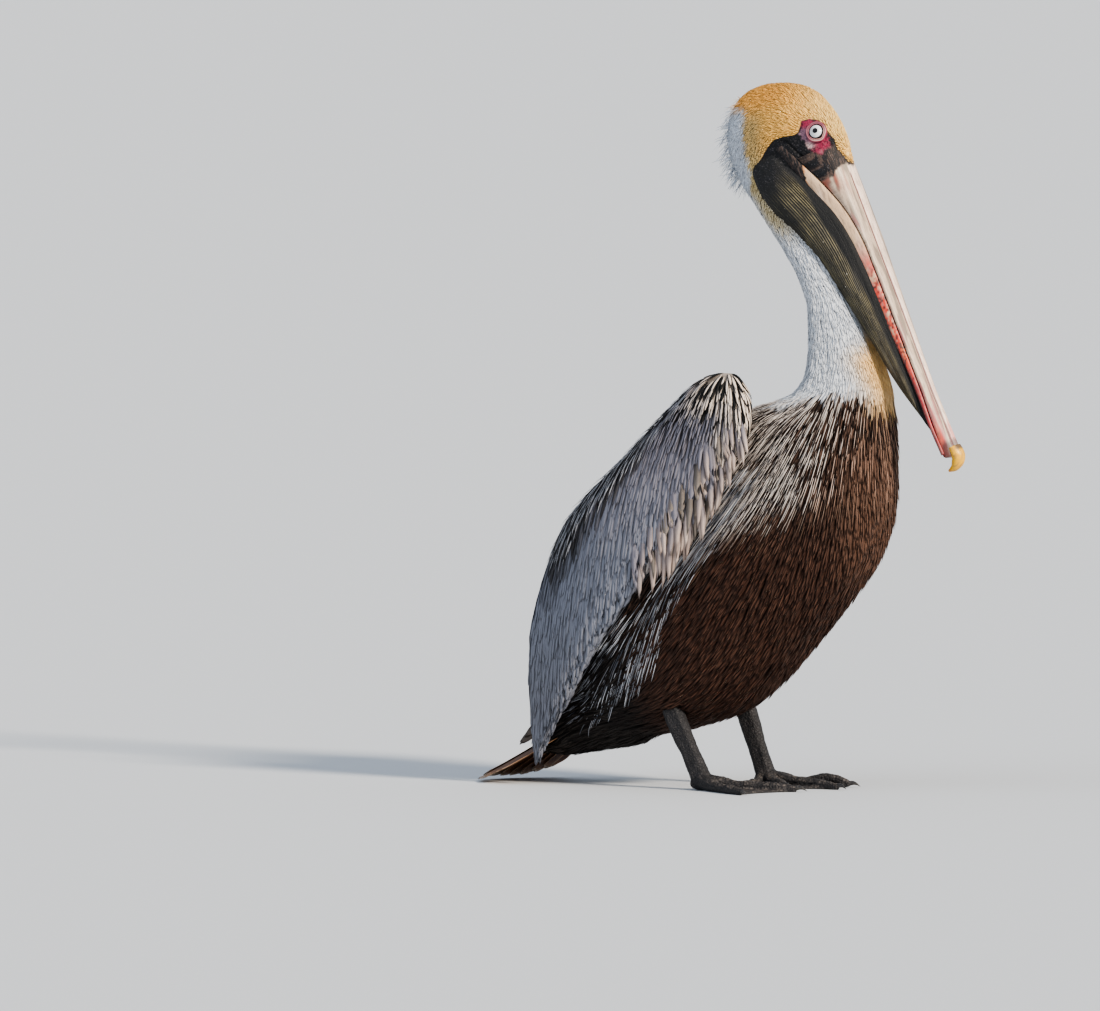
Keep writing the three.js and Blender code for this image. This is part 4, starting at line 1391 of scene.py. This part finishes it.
def growCoat(name, plan, seed):
    plan = {**coatPlan, **plan}
    places, normals, region, rootUv, depth, rng = sow(plan, seed)
    count, loose, follow = len(places), plan["loose"], plan["follow"]
    t, widths = (np.array(v, float) for v in shapes[plan["shape"]])
    length = at(plan["length"], places) * rng.uniform(0.8, 1.2, count)
    half = at(plan["half"], places) * rng.uniform(0.85, 1.15, count)
    flow = plan["turn"](places, flowAt(places, region))
    way = unit(flow - (flow * normals).sum(1)[:, None] * normals)
    stray = rng.normal(0, math.radians(plan["stray"]), count)[:, None]
    way = unit(way * np.cos(stray) + np.cross(normals, way) * np.sin(stray))
    if loose:
        way = unit(way + normals * rng.uniform(0.2, 1.0, count)[:, None] * loose)
    lift = depth * at(plan["lift"], places) * rng.uniform(0.7, 1.2, count) + plan["proud"]
    surface, upward = places, normals
    centres, ups = [], []
    agreed, held = np.ones(count, bool), np.zeros(count)
    for j, along in enumerate(t):
        if j:
            step = way * (length * (t[j] - t[j - 1]))[:, None]
            ahead = surface + step
            near, nearNormal, _ = nearest(groundTree, ahead)
            under = ((ahead - near) * nearNormal).sum(1) < 0
            # past an edge a feather goes straight on, and soon ends
            agreed = agreed & ((upward * nearNormal).sum(1) > plan["agree"])
            held = np.where(agreed, along, held)
            on = agreed[:, None]
            pull = np.where(under, 1.0, 0.0 if loose else plan["cling"])[:, None]
            surface = np.where(on, near * pull + ahead * (1 - pull), surface + step * plan["overhang"])
            upward = np.where(on, unit(upward * 0.45 + nearNormal * 0.55), upward)
            if loose:
                way = unit(way + [0, 0, -0.10])
            else:
                wanted = plan["turn"](surface, flowAt(surface, region))
                way = unit(way * (1 - follow) + unit(wanted) * follow)
                way = unit(way - (way * upward).sum(1)[:, None] * upward * 0.9)
        centres.append(surface + upward * (plan["low"] + lift * along ** plan["rise"])[:, None])
        ups.append(upward)
    # those that pass an edge too early are left out
    kept = held >= at(plan["least"], places)
    centres, ups = np.stack(centres, 1)[kept], np.stack(ups, 1)[kept]
    half, places, region, rootUv, count = half[kept], places[kept], region[kept], rootUv[kept], int(kept.sum())
    across = np.cross(ups, unit(np.gradient(centres, axis=1)))
    roll = rng.normal(0, math.radians(plan["roll"]), count)[:, None, None]
    across, ups = unit(across * np.cos(roll) + ups * np.sin(roll)), unit(ups * np.cos(roll) - across * np.sin(roll))
    reach = (half[:, None] * widths)[..., None]
    edges = [centres + (across * turn - ups * plan["cup"]) * reach for turn in (-1, 1)]
    rings = np.stack([edges[0], centres, edges[1]], 2)[:, 1:-1].reshape(count, -1, 3)
    points = np.concatenate([centres[:, :1], rings, centres[:, -1:]], 1)
    per = points.shape[1]
    faces = (np.arange(count)[:, None, None] * per + featherFaces(per)).reshape(-1, 3)
    obj = fromArrays(name, points.reshape(-1, 3), faces)
    vane = np.stack([np.concatenate([[0.5], np.tile([0.0, 0.5, 1.0], len(t) - 2), [0.5]]),
                     np.concatenate([[0.0], np.repeat(t[1:-1], 3), [1.0]])], 1)
    setUv(obj, "Vane", np.tile(vane, (count, 1)))
    patch = (rootUv[:, None, :] + plan["patch"] * (vane - 0.5)).reshape(-1, 2)
    setUv(obj, "OFBake", np.clip(patch, 0, 1))
    tone, mark = plan["paint"](places, region, rng)
    shade = rng.normal(1, plan["vary"], count)[:, None]
    setColour(obj, "Tone", np.repeat(np.clip(tone * shade, 0, 1), per, 0))
    setColour(obj, "Mark", np.repeat(np.clip(mark * shade, 0, 1), per, 0))
    setValue(obj, "Chance", np.repeat(rng.random(count), per))
    print("stage:", name, count, "feathers", len(faces), "faces")
    return obj


# a feather's looks unless its coat says otherwise; band, tip and reach are where its mark begins and is full:
# across it from the middle out, towards its tip, and along it
vaneLook = {
    "rough": 0.62, "gloss": 0.28, "ragU": 3.0, "ragV": 7.0, "ragged": 0.5, "tip": None, "reach": None,
    "strength": 0.9, "shaft": 0.09, "shaftDark": 0.35, "shaftTone": (0.02, 0.017, 0.015), "barbs": 16.0,
    "slant": 2.0, "barbDark": 0.22, "rootShade": 0.45,
}


def vaneMaterial(name, looks):
    # a feather: a pale or dark rim or a streak down its middle, a fine shaft, and barbs
    look = {**vaneLook, **looks}
    material = newMaterial(name, {"Roughness": look["rough"], "Specular IOR Level": look["gloss"]})
    split = addNode("SeparateXYZ", {0: uvOf("Vane")})
    u, v = split.outputs[0], split.outputs[1]
    across = times(sizeOf(minus(u, 0.5)), 2.0)
    shifted = addNode("CombineXYZ", {0: times(u, look["ragU"]), 1: times(v, look["ragV"]),
                                     2: times(valueOf("Chance"), 60.0)}).outputs[0]
    ragged = noiseOn(shifted, 1.0, 3.0)
    wobble = times(minus(ragged, 0.5), look["ragged"])
    mask = between(plus(across, wobble), *look["band"])
    if look["tip"]:
        mask = maths("MAXIMUM", mask, between(plus(v, wobble), *look["tip"]))
    if look["reach"]:
        mask = times(mask, between(v, *look["reach"]))
    tone = mixed(times(mask, look["strength"]), toneOf(), toneOf("Mark"))
    shaft = between(across, look["shaft"], 0.02)
    tone = mixed(times(shaft, look["shaftDark"]), tone, look["shaftTone"])
    slanted = addNode("CombineXYZ", {0: plus(times(v, look["barbs"]), times(across, -look["slant"]))}).outputs[0]
    barbs = addNode("TexWave", {"Vector": slanted, "Scale": 1.0, "Distortion": 1.5, "Detail": 2.0}).outputs["Fac"]
    tone = mixed(times(between(barbs, 0.4, 0.0), look["barbDark"]), tone, (0.01, 0.009, 0.009))
    tone = mixed(times(between(v, 0.55, 0.05), look["rootShade"]), tone, (0.012, 0.01, 0.01))
    plug(tone, "Base Color")
    bumped(plus(barbs, ragged), 0.35, 0.0004)
    return material


# where each coat grows, from the place, the part of the body and the way the skin faces
def crownWhere(p, group, n):
    return (group <= 2) & (p[:, 2] > 604) & (bareness(p) < -0.3)


def neckWhere(p, group, n):
    x, _, z = p.T
    return (group <= 3) & ((x > 50) | (z > 500)) & (z > 370) & (z <= 612) & (aboveNeckLine(p) > 4) & (
        bareness(p) < -0.4)


def bodyWhere(low, high):
    return lambda p, group, n: (group > 1) & (group < 4) & (p[:, 2] > low) & (p[:, 2] <= high) & (
        aboveNeckLine(p) <= 6)


def rumpWhere(p, group, n):
    return (group == 3) & (p[:, 0] < -70) & (p[:, 2] < 160)


def streaked(p):
    # the pale streaks end along a line that falls towards the wing
    return rise(-44, 22, p[:, 2] - 322 + 0.5 * np.clip(145 - p[:, 0], 0, 120) + 7 * cloud(p, 6, 83))


def streakWhere(p, group, n):
    return bodyWhere(230, 420)(p, group, n) & (streaked(p) > 0.55 + 0.4 * cloud(p, 4, 84))


def flankWhere(p, group, n):
    ahead, z = aheadOfWing(p), p[:, 2]
    front = 33 + 20 * bell(z - 150, 30) + 14 * cloud(p, 3.4, 85) - 10 * rise(300, 340, z)
    return (group == 3) & (z > 84) & (z < 345) & (wingGapShadow(p) < 0.4) & (ahead > -14) & (ahead < front)


def crestWhere(p, group, n):
    x, y, z = p.T
    return (group <= 2) & (x < 34) & (z > 612) & (z < 692) & (np.abs(y) < 17)


def wingWhere(side, low=0, high=500):
    return lambda p, group, n: (group == 4) & (np.sign(p[:, 1]) == side) & (p[:, 2] > low) & (p[:, 2] <= high)


def edgeWhere(side):
    return lambda p, group, n: wingWhere(side, 262, 384)(p, group, n) & (side * n[:, 1] > 0.4) & (
        acrossWing(p) > 0.66 + 0.10 * cloud(p, 9, 86)) & (acrossWing(p) < 0.93)


def borderWhere(side):
    return lambda p, group, n: wingWhere(side, 240, 440)(p, group, n) & (acrossWing(p) < 0.17)


def pushed(*amount):
    # feathers turned a little to one way
    return lambda p, flow: unit(unit(flow) + np.array(amount))


def flankTurn(p, flow):
    return blend(unit(flow), [-0.22, 0, -1.0], 0.75 * rise(6, 34, aheadOfWing(p)) * rise(250, 190, p[:, 2]))


def nearBare(least, most):
    # short beside bare skin, so that its outline stays neat
    return lambda p: np.clip(1.0 - bareness(p) * 1.1, least, most(p))


def byHeight(start, *changes):
    # a measure that changes by some amount from one height to another
    return lambda p: start + sum(amount * rise(low, high, p[:, 2]) for amount, low, high in changes)


# how each coat is painted: a tone and a mark for every feather
coatTones = {
    # warmBreast is partly the breast's own colour and partly painted warm light
    "crownMark": "C9964E", "neckMark": "C9CDD6", "crestMark": "D5D8DE", "warmBreast": "735443",
    # the cold streak's bluish grey is a painted shade
    "bodyMark": "6F5243", "rumpMark": "2A211D", "rumpRim": "6E625A", "coldStreak": "AEB3BE",
    "streakRoot": "5E493B", "flankDark": "555963", "flankPale": "CDD0D8", "flankEdge": "3A3A3E",
    "flankRim": "7A7A80", "gapStreak": "8E8A88", "tipDark": "B59E90", "tipPale": "D9C4B6",
    "greyRoot": "6A635E", "greyTip": "8A8078", "borderDark": "6E7079", "borderPale": "B9BAC0",
}


def toned(a, b, share):
    return painted({**colours, **coatTones}, a, (b, share))


def plain(name, p):
    return np.tile(paint(colours[name]), (len(p), 1))


def paintPlain(mark, amount):
    def made(p, region, rng):
        tone = plumage(p, region)
        return tone, toned(tone, mark, np.full(len(p), amount))
    return made


def paintBody(p, region, rng):
    x, _, z = p.T
    # the breast's front is warmer brown, partly its own colour and partly painted warm light
    tone = toned(plumage(p, region), "warmBreast", rise(140, 185, x) * rise(380, 330, z) * 0.55)
    mark = toned(tone * 1.2, "bodyMark", rng.random(len(p)))
    pale = streaked(p) * rise(150, 120, x + 30 * (rng.random(len(p)) - 0.5))
    pale = np.maximum(pale, 0.8 * onBack(p))
    mark = toned(mark, streakTone(p, rng), np.clip(1.25 * pale ** 1.4 - 0.75 * rng.random(len(p)), 0, 1))
    return tone, toned(mark, "rumpMark", onRump(p))


def streakTone(p, rng):
    x, _, z = p.T
    # towards the front the streaks turn browner, partly their own colour and partly painted warm light
    warm = rise(140, 180, x + 0.35 * (370 - z) + 18 * (rng.random(len(p)) - 0.5))
    # the streaks turn bluish towards the back, a painted shade
    return toned(toned("streak", "coldStreak", rise(80, 10, x)), "warmStreak", warm)


def paintStreak(p, region, rng):
    tone = streakTone(p, rng)
    tone = toned("streakRoot", tone, rise(0.4, 1.0, streaked(p)) * rng.uniform(0.6, 1, len(p)))
    tone = toned(tone, "gold", bell(awayFrom(fromSide(p) - [0, 22], goldLine), 10))
    return tone, tone * 0.8


def paintFlank(p, region, rng):
    tone = toned("flankDark", "flankPale", rng.random(len(p)) ** 1.4)
    return tone, toned("flankEdge", "flankRim", rng.random(len(p)))


def paintRump(p, region, rng):
    mark = toned("rump", "rumpRim", rng.random(len(p)) ** 3 * rise(-110, -150, p[:, 0]))
    return plain("rump", p), mark


def paintWing(p, region, rng):
    tone = plumage(p, region)
    # on the hump the feathers' edges turn black and about one in five is black all over: painted shade in the gaps
    # between them
    mark = toned(tone * 0.86, "gap", rise(345, 385, p[:, 2]))
    tone = toned(tone, "gap", rng.random(len(p)) < 0.22 * rise(375, 400, p[:, 2]))
    return tone, toned(mark, "gapStreak", (wingGapShadow(p) > 0.4) & (rng.random(len(p)) < 0.5))


def paintEdge(p, region, rng):
    tip = rise(0.62, 0.84, acrossWing(p) + 0.3 * (rng.random(len(p)) - 0.5))
    mark = toned("lilac", toned("tipDark", "tipPale", rng.random(len(p))), tip)
    grey = rng.random(len(p)) < 0.12
    return toned(paint(colours["lilac"]) * 0.9, "greyRoot", grey), toned(mark, "greyTip", grey)


def paintBorder(p, region, rng):
    return toned("borderDark", "borderPale", rng.random(len(p))), plain("edge", p)


softLook = {"band": (0.35, 1.0), "strength": 0.5, "rootShade": 0.2, "barbDark": 0.08, "shaftDark": 0.0,
            "rough": 0.72}
streakLook = {"band": (0.9, 1.4), "strength": 0.3, "rootShade": 0.5, "barbDark": 0.0, "shaftDark": 0.0,
              "rough": 0.5}
# each coat: its piece, its slot, how it grows, and how its feathers look
coat = [
    ("crownFeathers", "crown_feathers", {
        "where": crownWhere, "gap": 1.45, "length": nearBare(2.6, lambda p: 8 + 5 * rise(60, 20, p[:, 0])),
        "half": 0.8, "shape": "plume", "lift": 0.85, "cup": 0.45, "vary": 0.06,
        "paint": paintPlain("crownMark", 0.35)}, softLook),
    ("neckFeathers", "neck_feathers", {
        "where": neckWhere, "gap": 2.0, "length": nearBare(4, byHeight(14, (5, 560, 420))), "half": 1.05,
        "shape": "plume", "stray": 5, "lift": 0.7, "cup": 0.25, "vary": 0.02, "roll": 6,
        "paint": paintPlain("neckMark", 0.4)}, {**softLook, "rootShade": 0.08, "barbDark": 0.04}),
    ("breastFeathers", "body_feathers", {
        "where": bodyWhere(255, 420), "gap": 3.3, "length": 27, "half": 1.9, "shape": "lance", "stray": 5,
        "lift": 0.85, "cup": 0.35, "paint": paintBody},
     {"band": (0.28, 0.10), "reach": (0.2, 0.45), "strength": 0.85, "shaftDark": 0.0, "ragged": 0.3}),
    ("bellyFeathers", "body_feathers", {
        "where": bodyWhere(0, 255), "gap": 3.7, "length": 30, "half": 1.9, "shape": "lance", "stray": 8,
        "cup": 0.35, "paint": paintBody, "vary": 0.16},
     {"band": (0.6, 0.1), "reach": (0.25, 0.6), "strength": 0.4, "shaftDark": 0.0, "rough": 0.7}),
    ("breastStreaks", "body_feathers", {
        "where": streakWhere, "gap": byHeight(6.8, (-1.6, 345, 385)), "length": byHeight(32, (14, 400, 330)),
        "half": 0.44, "shape": "long", "stray": 2.5, "lift": 1.0, "proud": 0.6, "cup": 0.5, "vary": 0.12,
        "follow": 0.6, "paint": paintStreak}, streakLook),
    ("flankPlumes", "body_feathers", {
        "where": flankWhere, "gap": 5.0, "length": byHeight(50, (-14, 160, 90)), "half": 0.44, "turn": flankTurn,
        "shape": "long", "stray": 3.5, "lift": 1.0, "proud": 0.8, "cup": 0.5, "vary": 0.12, "follow": 0.5,
        "paint": paintFlank}, streakLook),
    ("rumpFeathers", "body_feathers", {
        "where": rumpWhere, "gap": 5.4, "length": lambda p: 34 + 16 * rise(-100, -150, p[:, 0]), "half": 2.4,
        "shape": "long", "lift": 0.95, "paint": paintRump, "proud": 0.4},
     {"band": (0.5, 0.1), "reach": (0.3, 0.6), "strength": 0.6, "shaftDark": 0.5, "shaftTone": (0.16, 0.13, 0.11),
      "barbs": 26.0, "rough": 0.6}),
    ("crestPlumes", "neck_feathers", {
        "where": crestWhere, "gap": 3.4, "length": byHeight(15, (8, 700, 640)), "half": 0.34, "shape": "long",
        "stray": 22, "lift": 0.6, "cup": 0.4, "loose": 0.75, "turn": pushed(-0.8, 0, 0.1),
        "paint": paintPlain("crestMark", 0.5)}, softLook),
]
for side, word in sides:
    coat += [
        ("wingFeathers" + word, "wing_feathers", {
            "where": wingWhere(side), "gap": byHeight(4.3, (0.3, 410, 290)), "half": byHeight(1.9, (1.0, 410, 270)),
            "length": byHeight(20, (44, 410, 300), (-20, 110, 40)), "shape": "long", "stray": 2.5,
            "overhang": 0.5, "agree": 0.72, "least": byHeight(0, (0.5, 350, 320)),
            "lift": byHeight(0.6, (0.3, 350, 390)), "cup": 0.12, "cling": 0.8, "follow": 0.5, "vary": 0.03,
            "roll": 3, "paint": paintWing},
         {"band": (0.42, 0.74), "strength": 0.95, "shaftDark": 0.10, "ragged": 0.4, "barbs": 24.0,
          "barbDark": 0.08, "rootShade": 0.15}),
        ("edgeFeathers" + word, "wing_feathers", {
            "where": edgeWhere(side), "gap": 8.0, "length": byHeight(46, (22, 380, 330)),
            "half": byHeight(2.4, (1.2, 380, 340)), "overhang": 0.8, "shape": "spear", "stray": 4, "lift": 1.0,
            "proud": 1.1, "cup": 0.16, "cling": 0.6, "follow": 0.15, "turn": pushed(0.16, 0, 0), "roll": 4,
            "agree": 0.7, "paint": paintEdge},
         {"band": (0.7, 1.0), "strength": 0.8, "tip": (0.25, 0.85), "shaftDark": 0.25, "ragged": 0.3,
          "barbs": 34.0, "barbDark": 0.1, "rootShade": 0.25}),
        ("borderStreaks" + word, "wing_feathers", {
            "where": borderWhere(side), "gap": 5.0, "length": 24, "half": 0.6, "shape": "lance", "stray": 7,
            "lift": 1.1, "proud": 0.4, "cup": 0.5, "cling": 0.7, "paint": paintBorder}, streakLook),
    ]

for number, (name, slot, plan, looks) in enumerate(coat):
    settle(growCoat(name, plan, 100 + number), vaneMaterial(name + "Vane", looks),
           ["crest"] if name == "crestPlumes" else [])

# stiff feathers: the tail's fan and the long folded quills over it
tailPlan = {"x": -124.8, "z": 86, "length": 150, "pitch": 31, "fan": 25, "roof": 10, "count": 13, "root": 18,
            "half": 12.0, "bend": 0.03}
quillPlan = {"root": (-102.8, 46, 142), "tip": (-216, 30, 40), "count": 6, "half": 5.5, "bend": 0.0}
bladePlan = {"rows": 30, "columns": 15, "thick": 0.4, "shaft": 1.1, "floor": 2.2, "ease": 1.2}
bladeTones = {"dark": "2A1D17", "brown": "6F4A34", "worn": "A87B58", "rim": "C49A76", "endRim": "E2CDB6",
              "quill": "2A2524", "quillEnd": "57504C", "quillRim": "B5AFAA"}


def blade(root, way, up, length, half, bend, seed):
    # two vanes on a shaft, rounded off and a little frayed at the tip, eased to stay over the floor
    rng = np.random.default_rng(seed)
    t = np.linspace(0, 1, bladePlan["rows"])[:, None]
    u = np.linspace(-1, 1, bladePlan["columns"])[None, :]
    wide = half * np.interp(t, [0, 0.12, 0.5, 0.85, 1], [0.22, 0.45, 0.8, 1.0, 0.86])
    fray = rng.uniform(0, 1, u.shape) * 0.02
    reach = length * t * (1 - (0.10 * u ** 2 + fray) * t ** 5)
    surface = root + reach[..., None] * way + (u * wide)[..., None] * np.cross(up, way) \
        + (bend * length * t ** 2 - 0.12 * wide * u ** 2)[..., None] * up
    floor, ease = bladePlan["floor"], bladePlan["ease"]
    surface[..., 2] = floor + ease * np.logaddexp(0, (surface[..., 2] - floor) / ease)
    deep = bladePlan["thick"] * (1 - 0.5 * t) + bladePlan["shaft"] * bell(u, 0.10) * (1 - 0.8 * t)
    deep = deep[..., None] * up
    rings = np.concatenate([surface + deep / 2, (surface - deep / 2)[:, ::-1]], 1)
    around = np.concatenate([u[0], u[0][::-1]])
    return fromRings("blade", rings), (around + 1) / 2, t[:, 0]


def makeBlades(name, plans, paints):
    made = []
    for number, plan in enumerate(plans):
        piece, across, along = blade(*plan, seed=300 + number)
        uv = np.stack(np.broadcast_arrays(across[None, :], along[:, None]), -1).reshape(-1, 2)
        uv = np.concatenate([uv, [[0.5, 0], [0.5, 1]]])
        setUv(piece, "Vane", uv)
        tone, mark = paints(number, uv[:, 1])
        setColour(piece, "Tone", tone)
        setColour(piece, "Mark", mark)
        setValue(piece, "Chance", np.full(len(uv), number * 0.137 % 1))
        made.append(piece)
    return joined(name, made)


def swung(vector, axis, angle):
    c, s = math.cos(math.radians(angle)), math.sin(math.radians(angle))
    a, b = [(1, 2), (2, 0), (0, 1)][axis]
    out = list(vector)
    out[a], out[b] = vector[a] * c - vector[b] * s, vector[a] * s + vector[b] * c
    return out


def tailPlans():
    # the outer feathers first, the middle one on top
    plans = []
    middle = (tailPlan["count"] - 1) / 2
    for index in sorted(range(tailPlan["count"]), key=lambda i: -abs(i - middle)):
        spread = (index - middle) / middle

        def placed(v):
            for axis, angle in ((2, tailPlan["fan"] * spread), (0, -tailPlan["roof"] * np.sign(spread)),
                                (1, tailPlan["pitch"]), (2, 180)):
                v = swung(v, axis, angle)
            return np.array(v)
        root = placed([tailPlan["root"], 0, -0.9 * abs(index - middle)]) + [tailPlan["x"], 0, tailPlan["z"]]
        plans.append((root, placed([1, 0, 0]), placed([0, 0, 1]), tailPlan["length"] - 24 * spread ** 2,
                      tailPlan["half"], tailPlan["bend"]))
    return plans


def quillPlans(side):
    plans = []
    root, tip = (np.array(quillPlan[k]) * [1, side, 1] for k in ("root", "tip"))
    along = unit(tip - root)
    out = unit(np.cross(along, np.cross([0, side, 0.0], along)))
    above = unit(np.cross(along, out)) * -side
    for k in range(quillPlan["count"]):
        start = root + above * (13 - 5 * k) + out * (1.6 - 1.1 * k)
        reach = (tip - root) * (1 - 0.07 * (quillPlan["count"] - 1 - k))
        end = root + reach + above * (2.5 - 1.0 * k) + out * (0.8 - 0.5 * k)
        plans.append((start, unit(end - start), out, np.linalg.norm(end - start), quillPlan["half"],
                      quillPlan["bend"]))
    return plans


def paintTail(number, v):
    tone = painted(bladeTones, "dark", ("brown", rise(0.25, 0.8, v) * 0.8)) * (0.85 + 0.3 * (number * 0.37 % 1))
    mark = painted(bladeTones, "rim", ("endRim", rise(0.8, 1.0, v)))
    tone = painted(bladeTones, tone, ("worn", rise(0.82, 0.97, v) * 0.8), (mark, rise(0.93, 1.0, v) * 0.7))
    return tone, mark


def paintQuill(number, v):
    return painted(bladeTones, "quill", ("quillEnd", v)), np.tile(paint(bladeTones["quillRim"]), (len(v), 1))


tail = makeBlades("tailFeathers", tailPlans(), paintTail)
settle(tail, vaneMaterial("tailVane", {
    "band": (0.82, 1.0), "tip": (0.985, 1.0), "strength": 0.8, "shaft": 0.07, "shaftDark": 0.6,
    "shaftTone": (0.30, 0.22, 0.15), "barbs": 60.0, "barbDark": 0.3, "slant": 9.0, "rootShade": 0.3,
    "ragged": 0.12}), ["tail"])
for side, word in sides:
    quills = makeBlades("quills" + word, quillPlans(side), paintQuill)
    settle(quills, vaneMaterial("quillVane" + word, {
        "band": (0.88, 1.0), "strength": 0.8, "shaft": 0.08, "shaftDark": 0.5, "shaftTone": (0.10, 0.085, 0.075),
        "barbs": 70.0, "barbDark": 0.25, "slant": 9.0, "rootShade": 0.3, "ragged": 0.1}),
        ["quills_" + word.lower()])
print("stage: tail and quills")
